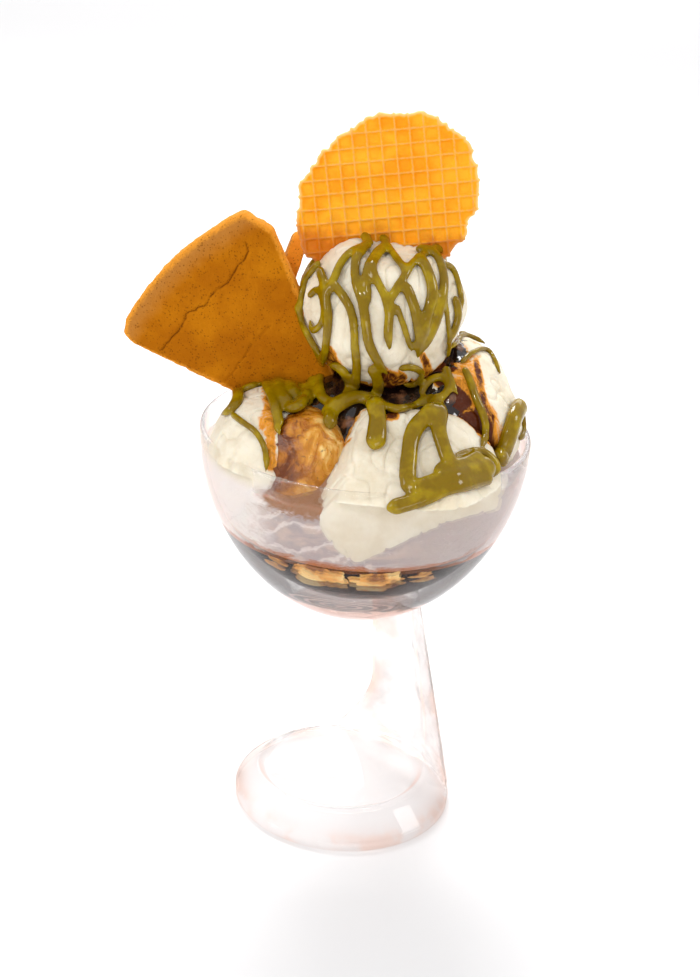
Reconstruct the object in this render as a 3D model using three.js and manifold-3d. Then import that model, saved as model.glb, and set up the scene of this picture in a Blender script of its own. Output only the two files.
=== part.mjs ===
// Ice cream sundae in a footed glass, millimetres, +Z up.
// The origin is the middle of the foot's underside. The glass opens upwards, its stem stands at
// the back right, and -Y is the front. A pool of syrup lies in the bowl, soft ice cream on it, four
// scoops around the rim, one scoop on top with a round wafer, and two fan-shaped biscuits at the left.
import * as THREE from "three";
import { mergeVertices } from "three/addons/utils/BufferGeometryUtils.js";
import Module from "manifold-3d";

const wasm = await Module();
wasm.setup();

// ---- driving dimensions ------------------------------------------------------------------------

const seatGap = 0.3; // clearance between pieces that touch
const fineMesh = 0.01; // how far a tidied face may move, on glass and wafer
const softMesh = 0.14; // and on ice cream
const ringSegments = 32; // facets round everything turned on the glass's axis

const bowl = {
  rimRadius: 56,
  rimHeight: 145,
  lipRadius: 1.1, // the rim is rounded over
  rollHeight: 3.2, // the wall is upright for this far below the top
  outerDepth: 64.8, // from the upright band down to where the outer curve would close
  outerPower: 1.8, // fullness of the outer curve, 2 is an ellipse
  innerDepth: 55.8,
  undersideRadius: 22,
  undersideHeight: 82.8,
};
bowl.shoulder = bowl.rimHeight - bowl.rollHeight;
bowl.innerRadius = bowl.rimRadius - 2 * bowl.lipRadius;

const foot = {
  radius: 39.2,
  edgeHeight: 3.6,
  edgeRound: 0.9,
  crestHeight: 10,
  crestRadius: 30.7,
  dishFloor: 6.4,
  dishSlope: 2.6, // width of the dish's sloping side
  dishCentre: [-1.2, 5.3],
};

const stem = {
  bottom: 4,
  top: 92,
  radiusAtGround: 40.2, // the outer face is part of a cone
  taper: 0.212, // radius lost for each millimetre of height
  rightAngle: -1, // degrees round the axis from +X
  leftAngle: 76,
  flareAngle: 20, // extra sweep of the left edge where it runs out into the foot
  flareHeight: 26,
  borderShare: 0.21, // each border's share of the front face's width
  panelDepthAtFoot: 2.4,
  panelDepthAtTop: 0.8,
  levels: 11,
  arcSteps: 10,
};

const syrupLevel = 113;

// Each scoop: a squashed ball with slow waves, cut flat by a few planes (normal, distance from centre).
const scoops = {
  scoop_top: {
    centre: [2.9, 0.5, 186],
    radii: [26.6, 25.5, 26],
    wave: 0.03,
    phase: 0.4,
    planes: [[[0.04, -0.1, 1], 21.5], [[0, 0, -1], 23.5], [[-0.55, -0.5, 0.66], 24.5]],
  },
  scoop_front: {
    centre: [12, -30, 138],
    radii: [33, 33, 27],
    wave: 0.025,
    phase: 2.1,
    planes: [
      [[-0.08, -0.62, 0.78], 21],
      [[0.6, -0.35, 0.72], 25],
      [[-0.8, -0.2, 0.56], 23],
      [[0, 0.3, 0.95], 24],
      [[0.45, -0.5, -0.74], 19.5],
    ],
  },
  scoop_right: {
    centre: [27, 7, 147],
    radii: [25.5, 31, 28],
    wave: 0.035,
    phase: 4.2,
    planes: [[[0.75, -0.2, 0.63], 25.5]],
  },
  scoop_left: {
    centre: [-30, -15, 139],
    radii: [22.5, 26, 22],
    wave: 0.03,
    phase: 1.2,
    planes: [[[-0.6, -0.5, 0.62], 23.5]],
  },
  scoop_back: {
    centre: [-5, 31, 142],
    radii: [33, 24, 26],
    wave: 0.035,
    phase: 5.3,
    planes: [[[0.1, 0.7, 0.7], 22.5]],
  },
};
const scoopAround = 16;
const scoopDown = 11;

// The soft ice cream under the scoops: a mound, with a lump that shows between two scoops.
const mound = {
  wallTop: 137,
  upper: [[45, 138.5], [36, 151], [22, 159], [0, 164]], // its top, as [radius, height]
  lump: { centre: [-20.5, -26, 139], radii: [14, 18, 21], wave: 0.04, phase: 3, planes: [] },
};

const wafer = {
  centre: [2, 8, 220.4],
  radius: 29.2,
  oval: 2.9, // the radius grows and shrinks by this much round the disc
  ovalAngle: 45,
  thickness: 3.2,
  cellPitch: 4.65,
  cellDepth: 0.85,
  leanBack: 7, // degrees
  gridTurn: 9,
};

// Fan-shaped biscuits, angles in degrees in the plane of the biscuit, radii from the fan's point.
const frontBiscuit = {
  thickness: 7,
  innerRadius: 24,
  outerRadius: 94.5,
  startAngle: 115.5,
  endAngle: 156.4,
  brokenRadius: 85.6, // the corner between here on the side and brokenAngle on the arc is lost
  brokenAngle: 119.4,
  cornerRadius: 7,
  edgeRound: 1.8,
  point: [2.6, -0.5, 134.7],
};
const backBiscuit = {
  thickness: 5.5,
  innerRadius: 14,
  outerRadius: 72,
  startAngle: 50,
  endAngle: 75,
  brokenRadius: 69.5,
  brokenAngle: 73.5,
  cornerRadius: 5,
  edgeRound: 1.5,
  tip: [-26, 18, 203.2],
  leanRight: 16,
};

// ---- helpers -----------------------------------------------------------------------------------

const radians = THREE.MathUtils.degToRad;

// A closed three.js geometry as a solid, with its faces turned outwards.
function toSolid(geometry) {
  const bare = geometry.clone();
  bare.deleteAttribute("normal");
  bare.deleteAttribute("uv");
  const merged = mergeVertices(bare, 1e-4);
  const points = merged.attributes.position.array;
  const index = Array.from(merged.index.array);
  const triangles = [];
  let volume = 0;
  const [a, b, c] = [new THREE.Vector3(), new THREE.Vector3(), new THREE.Vector3()];
  for (let k = 0; k < index.length; k += 3) {
    const [i, j, l] = index.slice(k, k + 3);
    if (i === j || j === l || l === i) continue; // a sliver at a pole
    triangles.push(i, j, l);
    a.fromArray(points, 3 * i);
    b.fromArray(points, 3 * j);
    c.fromArray(points, 3 * l);
    volume += a.dot(b.cross(c));
  }
  if (volume < 0) triangles.reverse();
  const mesh = new wasm.Mesh({
    numProp: 3,
    vertProperties: new Float32Array(points),
    triVerts: new Uint32Array(triangles),
  });
  return new wasm.Manifold(mesh);
}

function toGeometry(solid) {
  const mesh = solid.getMesh();
  const geometry = new THREE.BufferGeometry();
  geometry.setAttribute("position", new THREE.BufferAttribute(mesh.vertProperties, 3));
  geometry.setIndex(new THREE.BufferAttribute(mesh.triVerts, 1));
  return geometry;
}

// The biggest of the pieces that a cut leaves, without the crumbs, and with tiny edges collapsed.
function mainPiece(solid, tolerance) {
  const pieces = solid.decompose();
  pieces.sort((p, q) => q.volume() - p.volume());
  return pieces[0].simplify(tolerance);
}

// A profile of [radius, height] pairs turned round the Z axis.
function turned(profile) {
  const points = profile.map(([radius, height]) => new THREE.Vector2(Math.max(radius, 0), height));
  return new THREE.LatheGeometry(points, ringSegments).rotateX(Math.PI / 2);
}

// A closed surface from rings of the same number of points, the ends closed to their middles.
function lofted(rings) {
  const count = rings[0].length;
  const positions = rings.flat(2);
  const middles = [rings[0], rings.at(-1)].map((ring) =>
    [0, 1, 2].map((axis) => ring.reduce((sum, point) => sum + point[axis], 0) / count));
  const first = rings.length * count;
  const last = first + 1;
  positions.push(...middles[0], ...middles[1]);
  const index = [];
  for (let j = 0; j < count; j++) {
    const next = (j + 1) % count;
    for (let i = 0; i + 1 < rings.length; i++) {
      const [p, q, r, s] = [i * count + j, i * count + next, (i + 1) * count + j, (i + 1) * count + next];
      index.push(p, q, s, p, s, r);
    }
    const end = (rings.length - 1) * count;
    index.push(first, next, j, last, end + j, end + next);
  }
  const geometry = new THREE.BufferGeometry();
  geometry.setAttribute("position", new THREE.Float32BufferAttribute(positions, 3));
  geometry.setIndex(index);
  return geometry;
}

// ---- glass -------------------------------------------------------------------------------------

// The bowl's inner wall from its floor up, moved into the bowl by the gap, as [radius, height].
function innerWall(gap, topHeight, steps) {
  const points = [];
  const lowest = Math.PI / 2;
  const highest = Math.asin((bowl.shoulder - topHeight) / bowl.innerDepth);
  for (let k = 0; k <= steps; k++) {
    const angle = lowest + (highest - lowest) * (k / steps);
    const out = new THREE.Vector2(Math.cos(angle) / bowl.innerRadius, -Math.sin(angle) / bowl.innerDepth);
    out.normalize();
    points.push([
      bowl.innerRadius * Math.cos(angle) - gap * out.x,
      bowl.shoulder - bowl.innerDepth * Math.sin(angle) - gap * out.y,
    ]);
  }
  return points;
}

function bowlProfile() {
  const outerSteps = 10;
  const lowestAngle = Math.acos(bowl.undersideRadius / bowl.rimRadius);
  const profile = [[0, bowl.undersideHeight], [bowl.undersideRadius, bowl.undersideHeight]];
  for (let k = 1; k <= outerSteps; k++) {
    const angle = lowestAngle * (1 - k / outerSteps);
    const drop = bowl.outerDepth * Math.sin(angle) ** (2 / bowl.outerPower);
    profile.push([bowl.rimRadius * Math.cos(angle), bowl.shoulder - drop]);
  }
  const lipSteps = 4;
  for (let k = 0; k <= lipSteps; k++) {
    const angle = (Math.PI * k) / lipSteps;
    profile.push([
      bowl.rimRadius - bowl.lipRadius + bowl.lipRadius * Math.cos(angle),
      bowl.rimHeight - bowl.lipRadius + bowl.lipRadius * Math.sin(angle),
    ]);
  }
  const inner = innerWall(0, bowl.shoulder, 11);
  inner.reverse();
  return [...profile, ...inner];
}

// Everything inside the bowl up to the rim, with the wall's surface moved in by the gap.
function cavity(gap) {
  const wall = innerWall(gap, bowl.shoulder, 11);
  return toSolid(turned([...wall, [bowl.innerRadius - gap, bowl.rimHeight], [0, bowl.rimHeight]]));
}

// One level of the stem: an arc of the cone, then back along the front face with its sunk panel.
function stemSection(height) {
  const share = height / bowl.undersideHeight;
  const radius = Math.min(stem.radiusAtGround - stem.taper * height, foot.radius - 0.4);
  const flare = Math.max(0, 1 - (height - foot.dishFloor) / stem.flareHeight);
  const start = radians(stem.rightAngle);
  const end = radians(stem.leftAngle + stem.flareAngle * Math.min(flare, 1) ** 1.6);
  const ring = [];
  for (let k = 0; k <= stem.arcSteps; k++) {
    const angle = start + (end - start) * (k / stem.arcSteps);
    ring.push([radius * Math.cos(angle), radius * Math.sin(angle), height]);
  }
  const left = new THREE.Vector2(Math.cos(end), Math.sin(end)).multiplyScalar(radius);
  const right = new THREE.Vector2(Math.cos(start), Math.sin(start)).multiplyScalar(radius);
  const inward = new THREE.Vector2(left.y - right.y, right.x - left.x).normalize(); // to the arc
  const depth = THREE.MathUtils.lerp(stem.panelDepthAtFoot, stem.panelDepthAtTop, share);
  const border = stem.borderShare;
  const face = [[border, 0], [border + 0.1, 1], [0.5, 1], [0.9 - border, 1], [1 - border, 0]];
  for (const [along, sunk] of face) {
    const point = left.clone().lerp(right, along).addScaledVector(inward, depth * sunk);
    ring.push([point.x, point.y, height]);
  }
  return ring;
}

function glassSolid() {
  const footProfile = [
    [0, 0],
    [foot.radius - foot.edgeRound, 0],
    [foot.radius, foot.edgeRound],
    [foot.radius, foot.edgeHeight - foot.edgeRound],
    [foot.radius - foot.edgeRound, foot.edgeHeight],
    [foot.crestRadius + 0.6, foot.crestHeight - 0.4],
    [foot.crestRadius - 0.8, foot.crestHeight],
    [0, foot.crestHeight],
  ];
  const dish = turned([
    [0, foot.dishFloor],
    [foot.crestRadius - foot.dishSlope, foot.dishFloor],
    [foot.crestRadius, foot.crestHeight],
    [foot.crestRadius + foot.dishSlope, foot.crestHeight + 4],
    [0, foot.crestHeight + 4],
  ]).translate(foot.dishCentre[0], foot.dishCentre[1], 0);
  const rings = [];
  for (let k = 0; k < stem.levels; k++) {
    const share = k / (stem.levels - 1);
    rings.push(stemSection(stem.bottom + (stem.top - stem.bottom) * share ** 1.35));
  }
  const pillar = toSolid(lofted(rings)).subtract(cavity(0));
  const base = toSolid(turned(footProfile)).subtract(toSolid(dish));
  return mainPiece(base.add(pillar).add(toSolid(turned(bowlProfile()))), fineMesh);
}

// ---- food --------------------------------------------------------------------------------------

// Distance from a scoop's centre to its surface in a given direction.
function scoopReach(scoop, direction) {
  const [rx, ry, rz] = scoop.radii;
  const round = Math.atan2(direction.y, direction.x);
  const level = Math.hypot(direction.x, direction.y);
  const waves = level * Math.sin(3 * round + scoop.phase)
    + 0.7 * level * Math.sin(5 * direction.z + 2 * round + 2 * scoop.phase);
  let reach = 1 / Math.hypot(direction.x / rx, direction.y / ry, direction.z / rz);
  reach *= 1 + scoop.wave * waves;
  for (const [normal, distance] of scoop.planes) {
    const facing = direction.dot(new THREE.Vector3(...normal).normalize());
    if (facing > 0) reach = Math.min(reach, distance / facing);
  }
  return reach;
}

// A scoop's whole ball, grown all round by the gap when it cuts its neighbours.
function scoopBall(scoop, grow = 0) {
  const geometry = new THREE.SphereGeometry(1, scoopAround, scoopDown).rotateX(Math.PI / 2);
  const points = geometry.attributes.position;
  const direction = new THREE.Vector3();
  for (let k = 0; k < points.count; k++) {
    direction.fromBufferAttribute(points, k).normalize();
    const reach = scoopReach(scoop, direction) + grow;
    points.setXYZ(k, ...direction.multiplyScalar(reach).add(new THREE.Vector3(...scoop.centre)).toArray());
  }
  return toSolid(geometry);
}

// Where the ice cream starts: the top of the syrup, then the bowl's wall up to a height.
function iceCreamFloor(topHeight) {
  const edge = innerWall(seatGap, syrupLevel + seatGap, 4).at(-1);
  const wall = innerWall(seatGap, topHeight, 11).filter(([, height]) => height > syrupLevel + 2);
  return [[0, edge[1]], edge, ...wall];
}

// The syrup, the glass's wall and all that lies outside it, up to just below the rim, where a scoop
// may lap over.
function outsideTheBowl() {
  const lapDepth = 4.5;
  const outer = bowl.rimRadius + seatGap;
  const far = bowl.rimRadius + 60;
  const profile = [
    ...iceCreamFloor(bowl.shoulder),
    [bowl.innerRadius - seatGap, bowl.rimHeight + seatGap],
    [outer, bowl.rimHeight + seatGap],
    [outer, bowl.rimHeight - lapDepth],
    [far, bowl.rimHeight - lapDepth],
    [far, 0],
    [0, 0],
  ];
  return toSolid(turned(profile));
}

// A fan's outline, walked round from the inner end of its first side, rounded at the far corner.
function fanOutline(fan, grow) {
  const at = (radius, degrees) =>
    new THREE.Vector2(radius * Math.cos(radians(degrees)), radius * Math.sin(radians(degrees)));
  const points = [];
  const arcSteps = 10;
  const cornerSteps = 4;
  const chipped = fan.brokenAngle < (fan.startAngle + fan.endAngle) / 2; // which end of the arc is lost
  const lost = chipped ? fan.startAngle : fan.endAngle;
  const kept = chipped ? fan.endAngle : fan.startAngle;
  points.push(at(fan.innerRadius, lost), at(fan.brokenRadius, lost));
  const cornerSweep = THREE.MathUtils.radToDeg(fan.cornerRadius / (fan.outerRadius - fan.cornerRadius));
  const arcEnd = kept + (chipped ? -cornerSweep : cornerSweep);
  for (let k = 0; k <= arcSteps; k++) {
    points.push(at(fan.outerRadius, fan.brokenAngle + (arcEnd - fan.brokenAngle) * (k / arcSteps)));
  }
  const cornerStart = points.at(-1).clone();
  const cornerEnd = at(fan.outerRadius - fan.cornerRadius, kept);
  const tip = at(fan.outerRadius, kept);
  for (let k = 1; k <= cornerSteps; k++) {
    const t = k / cornerSteps;
    const bend = cornerStart.clone().multiplyScalar((1 - t) ** 2);
    points.push(bend.addScaledVector(tip, 2 * t * (1 - t)).addScaledVector(cornerEnd, t ** 2));
  }
  points.push(at(fan.innerRadius, kept));
  if (!chipped) points.reverse();
  return grow ? grownOutline(points, grow) : points;
}

// Moves each corner of a counter-clockwise outline outwards, so that its sides move by the distance.
function grownOutline(points, distance) {
  return points.map((point, k) => {
    const before = points[(k + points.length - 1) % points.length];
    const after = points[(k + 1) % points.length];
    const first = point.clone().sub(before).normalize();
    const second = after.clone().sub(point).normalize();
    const out = new THREE.Vector2(first.y + second.y, -first.x - second.x).normalize();
    const spread = Math.max(out.x * first.y - out.y * first.x, 0.4);
    return point.clone().addScaledVector(out, distance / spread);
  });
}

// A fan in its own plane, its thickness centred on it: rounded as a biscuit, or plain and grown.
function fanGeometry(fan, grow = 0) {
  const shape = new THREE.Shape(fanOutline(fan, grow));
  const round = grow ? 0 : fan.edgeRound;
  const depth = fan.thickness + 2 * grow - 2 * round;
  return new THREE.ExtrudeGeometry(shape, {
    depth,
    bevelEnabled: round > 0,
    bevelThickness: round,
    bevelSize: round,
    bevelOffset: -round,
    bevelSegments: 2,
    curveSegments: 1,
  }).translate(0, 0, -depth / 2);
}

function waferRadius(angle) {
  const ragged = 0.35 * Math.sin(11 * angle) + 0.25 * Math.sin(17 * angle + 1);
  return wafer.radius + wafer.oval * Math.cos(2 * (angle - radians(wafer.ovalAngle))) + ragged;
}

// The wafer in its own plane: a sheet of square hollows on both sides, cut to its oval outline.
function waferGeometry() {
  const cells = 2 * Math.ceil((wafer.radius + wafer.oval + 2) / wafer.cellPitch);
  const half = (cells * wafer.cellPitch) / 2;
  const turn = radians(wafer.gridTurn);
  const positions = [];
  const addPoint = (x, y, z) => {
    positions.push(x * Math.cos(turn) - y * Math.sin(turn), x * Math.sin(turn) + y * Math.cos(turn), z);
    return positions.length / 3 - 1;
  };
  const index = [];
  for (const side of [1, -1]) {
    const corner = [];
    for (let i = 0; i <= cells; i++) {
      corner.push([]);
      for (let j = 0; j <= cells; j++) {
        const [x, y] = [i * wafer.cellPitch - half, j * wafer.cellPitch - half];
        corner[i].push(addPoint(x, y, (side * wafer.thickness) / 2));
      }
    }
    for (let i = 0; i < cells; i++) {
      for (let j = 0; j < cells; j++) {
        const [x, y] = [(i + 0.5) * wafer.cellPitch - half, (j + 0.5) * wafer.cellPitch - half];
        const hollow = addPoint(x, y, side * (wafer.thickness / 2 - wafer.cellDepth));
        const ring = [corner[i][j], corner[i + 1][j], corner[i + 1][j + 1], corner[i][j + 1]];
        ring.forEach((point, k) => {
          const next = ring[(k + 1) % 4];
          index.push(...(side > 0 ? [point, next, hollow] : [next, point, hollow]));
        });
      }
    }
  }
  const layer = (cells + 1) ** 2 + cells ** 2;
  const edge = [];
  for (let k = 0; k < cells; k++) edge.push(k * (cells + 1));
  for (let k = 0; k < cells; k++) edge.push(cells * (cells + 1) + k);
  for (let k = cells; k > 0; k--) edge.push(k * (cells + 1) + cells);
  for (let k = cells; k > 0; k--) edge.push(k);
  edge.forEach((top, k) => {
    const next = edge[(k + 1) % edge.length];
    index.push(top, top + layer, next, next, top + layer, next + layer);
  });
  const sheet = new THREE.BufferGeometry();
  sheet.setAttribute("position", new THREE.Float32BufferAttribute(positions, 3));
  sheet.setIndex(index);
  const slab = toSolid(waferDisc(0, wafer.thickness + 2));
  return toGeometry(mainPiece(toSolid(sheet).intersect(slab), fineMesh));
}

// The wafer's plain outline as a slab, grown all round by the gap.
function waferDisc(grow, thickness) {
  const outline = [];
  const steps = 44;
  for (let k = 0; k < steps; k++) {
    const angle = (2 * Math.PI * k) / steps;
    const radius = waferRadius(angle) + grow;
    outline.push(new THREE.Vector2(radius * Math.cos(angle), radius * Math.sin(angle)));
  }
  const options = { depth: thickness, bevelEnabled: false, curveSegments: 1 };
  return new THREE.ExtrudeGeometry(new THREE.Shape(outline), options).translate(0, 0, -thickness / 2);
}

// ---- placing -----------------------------------------------------------------------------------

function placed(mesh, position, turns) {
  mesh.position.set(...position);
  mesh.rotation.set(...turns, "ZYX");
  mesh.updateMatrix();
  return mesh;
}

// The point of the back biscuit's fan, found from its tip down the side that shows.
function backBiscuitPoint() {
  const side = radians(backBiscuit.endAngle);
  const along = [Math.cos(side) * backBiscuit.brokenRadius, Math.sin(side) * backBiscuit.brokenRadius];
  const lean = radians(backBiscuit.leanRight);
  const [x, y, z] = backBiscuit.tip;
  return [x - Math.sin(lean) * along[1], y - along[0], z - Math.cos(lean) * along[1]];
}

function food(color, roughness) {
  return new THREE.MeshStandardMaterial({ color, roughness, metalness: 0 });
}

const part = new THREE.Group();

const glassMaterial = new THREE.MeshStandardMaterial({
  color: 0xf2ded6,
  roughness: 0.05,
  metalness: 0,
  transparent: true,
  opacity: 0.35,
});

function addPiece(name, geometry, material) {
  const mesh = new THREE.Mesh(geometry, material);
  mesh.name = name;
  part.add(mesh);
  return mesh;
}

addPiece("glass_coupe", toGeometry(glassSolid()), glassMaterial);

const poolWall = innerWall(seatGap, syrupLevel, 7);
const pool = turned([...poolWall, [0, poolWall.at(-1)[1]]]);
addPiece("syrup_pool", toGeometry(toSolid(pool)), food(0x2a1410, 0.2));

// The wafer faces the front and leans back; the biscuits stand on their points.
const waferMesh = placed(
  addPiece("wafer_disc", waferGeometry(), food(0xf2a63c, 0.6)),
  wafer.centre,
  [radians(90 - wafer.leanBack), 0, 0],
);
const frontMesh = placed(
  addPiece("biscuit_front", toGeometry(toSolid(fanGeometry(frontBiscuit))), food(0xc07a1e, 0.75)),
  frontBiscuit.point,
  [radians(90), 0, 0],
);
// Its plane holds the Y axis: local X points back, local Y points up and leans to the right.
const backMesh = placed(
  addPiece("biscuit_back", toGeometry(toSolid(fanGeometry(backBiscuit))), food(0xb8701c, 0.75)),
  backBiscuitPoint(),
  [0, 0, 0],
);
const leaning = radians(backBiscuit.leanRight);
backMesh.quaternion.setFromRotationMatrix(new THREE.Matrix4().makeBasis(
  new THREE.Vector3(0, 1, 0),
  new THREE.Vector3(Math.sin(leaning), 0, Math.cos(leaning)),
  new THREE.Vector3(Math.cos(leaning), 0, -Math.sin(leaning)),
));
backMesh.updateMatrix();

let taken = outsideTheBowl(); // all that the next piece must stay clear of
const cutters = [
  waferDisc(seatGap, wafer.thickness + 2 * seatGap).applyMatrix4(waferMesh.matrix),
  fanGeometry(frontBiscuit, seatGap).applyMatrix4(frontMesh.matrix),
  fanGeometry(backBiscuit, seatGap).applyMatrix4(backMesh.matrix),
];
for (const cutter of cutters) taken = taken.add(toSolid(cutter));
for (const [name, scoop] of Object.entries(scoops)) {
  const solid = mainPiece(scoopBall(scoop).subtract(taken), softMesh);
  addPiece(name, toGeometry(solid), food(0xe9e0cc, 0.55));
  taken = taken.add(scoopBall(scoop, seatGap));
}

const layer = turned([...iceCreamFloor(mound.wallTop), ...mound.upper]);
const softSolid = toSolid(layer).add(scoopBall(mound.lump)).subtract(taken);
addPiece("soft_ice_cream", toGeometry(mainPiece(softSolid, softMesh)), food(0xc9a184, 0.5));

export default part;
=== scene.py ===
import math

import bpy
import numpy as np
from mathutils import Matrix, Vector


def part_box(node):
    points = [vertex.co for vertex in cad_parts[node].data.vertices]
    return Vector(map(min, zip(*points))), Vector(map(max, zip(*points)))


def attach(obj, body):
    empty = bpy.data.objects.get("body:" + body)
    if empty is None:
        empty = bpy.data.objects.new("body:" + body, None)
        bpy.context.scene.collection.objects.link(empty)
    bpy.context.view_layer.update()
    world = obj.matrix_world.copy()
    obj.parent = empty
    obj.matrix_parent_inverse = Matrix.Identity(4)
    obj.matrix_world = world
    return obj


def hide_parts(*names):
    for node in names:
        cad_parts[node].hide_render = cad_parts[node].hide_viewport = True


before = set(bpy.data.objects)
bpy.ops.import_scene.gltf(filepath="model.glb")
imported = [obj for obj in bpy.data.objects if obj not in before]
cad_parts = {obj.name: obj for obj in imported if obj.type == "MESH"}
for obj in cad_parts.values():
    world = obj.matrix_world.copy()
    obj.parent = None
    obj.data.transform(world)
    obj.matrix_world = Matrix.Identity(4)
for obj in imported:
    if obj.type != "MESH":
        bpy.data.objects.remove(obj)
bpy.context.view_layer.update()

mm = 0.001
turn = 2 * math.pi
hashFactors = np.array([73856093, 19349663, 83492791])
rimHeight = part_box("glass_coupe")[1].z / mm
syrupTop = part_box("syrup_pool")[1].z / mm


# smooth random value from -1 to 1 at each point: hashed values on a lattice, blended with eased weights
def drift(points, size, seed=0):
    cell = points / size
    base = np.floor(cell).astype(np.int64)
    ease = cell - base
    ease = ease * ease * (3 - 2 * ease)
    total = np.zeros(points.shape[:-1])
    for step in np.ndindex(2, 2, 2):
        key = base + np.array(step)
        mixed = np.bitwise_xor.reduce(key * hashFactors, axis=-1) ^ (seed + 1) * 2654435
        mixed = (mixed ^ (mixed >> 13)) * 1274126177
        value = ((mixed ^ (mixed >> 16)) & 0xFFFF) / 32767.5 - 1
        total += value * np.prod(np.where(step, ease, 1 - ease), axis=-1)
    return total


# drift at several sizes added up, each half as big and half as strong as the last
def rough(points, size, layers, seed=0):
    return sum(drift(points, size / 2 ** k, seed + k) / 2 ** k for k in range(layers))


# vectors brought to length 1
def unit(vectors):
    return vectors / np.maximum(np.linalg.norm(vectors, axis=-1, keepdims=True), 1e-9)


# the smaller of two values, rounded over where they are within a width of each other
def softMin(a, b, width):
    overlap = np.maximum(width - np.abs(a - b), 0) / width
    return np.minimum(a, b) - overlap * overlap * width / 4


# 0 at one end, 1 at the other, and eased between them
def smoothStep(low, high, value):
    share = np.clip((value - low) / (high - low), 0, 1)
    return share * share * (3 - 2 * share)


# evenly spaced points along a line of corners
def along(polyline, count):
    run = np.concatenate([[0], np.cumsum(np.linalg.norm(np.diff(polyline, axis=0), axis=1))])
    places = np.linspace(0, run[-1], count)
    return np.stack([np.interp(places, run, polyline[:, axis]) for axis in range(polyline.shape[1])], -1)


# how far each point is from the nearest stretch of a line of corners
def distanceToLine(points, corners):
    gaps = []
    for start, end in zip(corners[:-1], corners[1:]):
        step = end - start
        share = np.clip((points - start) @ step / (step @ step), 0, 1)
        gaps.append(np.linalg.norm(points - start - share[..., None] * step, axis=-1))
    return np.min(gaps, axis=0)


# a smooth curve through the given places: each stretch is a cubic that leaves along its neighbours' chord
def curveThrough(places, perStretch=14):
    places = np.array(places, float)
    before = np.concatenate([2 * places[:1] - places[1:2], places[:-1]])[:-1]
    after = np.concatenate([places[2:], 2 * places[-1:] - places[-2:-1]])
    first, second = places[:-1], places[1:]
    t = np.linspace(0, 1, perStretch, endpoint=False)[:, None, None]
    curve = 2 * first + (second - before) * t + (2 * before - 5 * first + 4 * second - after) * t ** 2
    curve = (curve + (3 * first - before - 3 * second + after) * t ** 3) / 2
    return np.concatenate([curve.transpose(1, 0, 2).reshape(-1, places.shape[1]), places[-1:]])


# a grid of points as one list
def inPieces(points):
    return points.reshape(-1, points.shape[-1])


# four-cornered faces of a grid of rows and columns, each row closed on itself when wanted
def gridFaces(rows, columns, closed=False):
    i, j = np.meshgrid(np.arange(rows - 1), np.arange(columns if closed else columns - 1), indexing="ij")
    after = (j + 1) % columns
    corners = [i * columns + j, i * columns + after, (i + 1) * columns + after, (i + 1) * columns + j]
    return np.stack(corners, -1).reshape(-1, 4)


# a mesh object from points in millimetres and faces of four corners, or three where one is said twice
def makePiece(name, points, faces, material, marks=None, sharp=None):
    mesh = bpy.data.meshes.new(name)
    kept = faces != np.roll(faces, 1, axis=1)
    corners = faces[kept].astype(np.int32)
    starts = np.concatenate([[0], np.cumsum(kept.sum(1))[:-1]]).astype(np.int32)
    mesh.vertices.add(len(points))
    mesh.vertices.foreach_set("co", (points * mm).astype(np.float32).ravel())
    mesh.loops.add(len(corners))
    mesh.loops.foreach_set("vertex_index", corners)
    mesh.polygons.add(len(faces))
    mesh.polygons.foreach_set("loop_start", starts)
    mesh.update(calc_edges=True)
    mesh.validate()
    mesh.shade_smooth()
    if sharp:
        mesh.set_sharp_from_angle(angle=math.radians(sharp))
    for mark, values in (marks or {}).items():
        layer = mesh.attributes.new(mark, "FLOAT", "POINT")
        layer.data.foreach_set("value", values.astype(np.float32).ravel())
    piece = bpy.data.objects.new(name, mesh)
    bpy.context.scene.collection.objects.link(piece)
    mesh.materials.append(material)
    return piece


# joins lists of points and faces into one pair of arrays
def gathered(parts):
    points, faces, start = [], [], 0
    for somePoints, someFaces in parts:
        points.append(somePoints)
        faces.append(someFaces + start)
        start += len(somePoints)
    return np.concatenate(points), np.concatenate(faces)


# a profile of radius and height turned round the Z axis, as a grid of points with one row for each ring
def turnedGrid(radii, heights, around):
    angle = np.arange(around) * turn / around
    ring = np.stack([np.cos(angle), np.sin(angle), np.zeros(around)], -1)
    points = radii[:, None, None] * ring[None]
    points[..., 2] = heights[:, None]
    return points


# the grid of a turned or lofted shape as one closed surface: rings, and a middle point at each end
def closedRings(rings):
    rows, around = rings.shape[:2]
    faces = gridFaces(rows, around, closed=True)
    j = np.arange(around)
    after = (j + 1) % around
    first, last = rows * around, rows * around + 1
    low = np.stack([np.full(around, first), after, j, j], -1)
    end = (rows - 1) * around
    high = np.stack([np.full(around, last), end + j, end + after, end + after], -1)
    points = np.concatenate([inPieces(rings), rings[0].mean(0)[None], rings[-1].mean(0)[None]])
    return points, np.concatenate([faces, low, high])


# a sheet's faces, the same faces turned over on a second layer of points, and a rim between their edges
def backedFaces(faces, layer):
    edges = np.stack([faces, np.roll(faces, -1, 1)], -1).reshape(-1, 2)
    loose = edges[~np.isin(edges[:, 0] * layer + edges[:, 1], edges[:, 1] * layer + edges[:, 0])]
    rim = np.stack([loose[:, 1], loose[:, 0], loose[:, 0] + layer, loose[:, 1] + layer], -1)
    return np.concatenate([faces, faces[:, ::-1] + layer, rim])


# a piece with its modifiers worked into its mesh
def applied(piece):
    shown = piece.evaluated_get(bpy.context.evaluated_depsgraph_get())
    mesh = bpy.data.meshes.new_from_object(shown)
    old = piece.data
    piece.modifiers.clear()
    piece.data = mesh
    bpy.data.meshes.remove(old)
    mesh.shade_smooth()
    return piece


# a piece given to the object, with the solids whose place it takes hidden; its slot is not used
def finished(piece, slot, *nodes):
    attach(piece, "root")
    if nodes:
        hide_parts(*nodes)
    return piece


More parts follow.
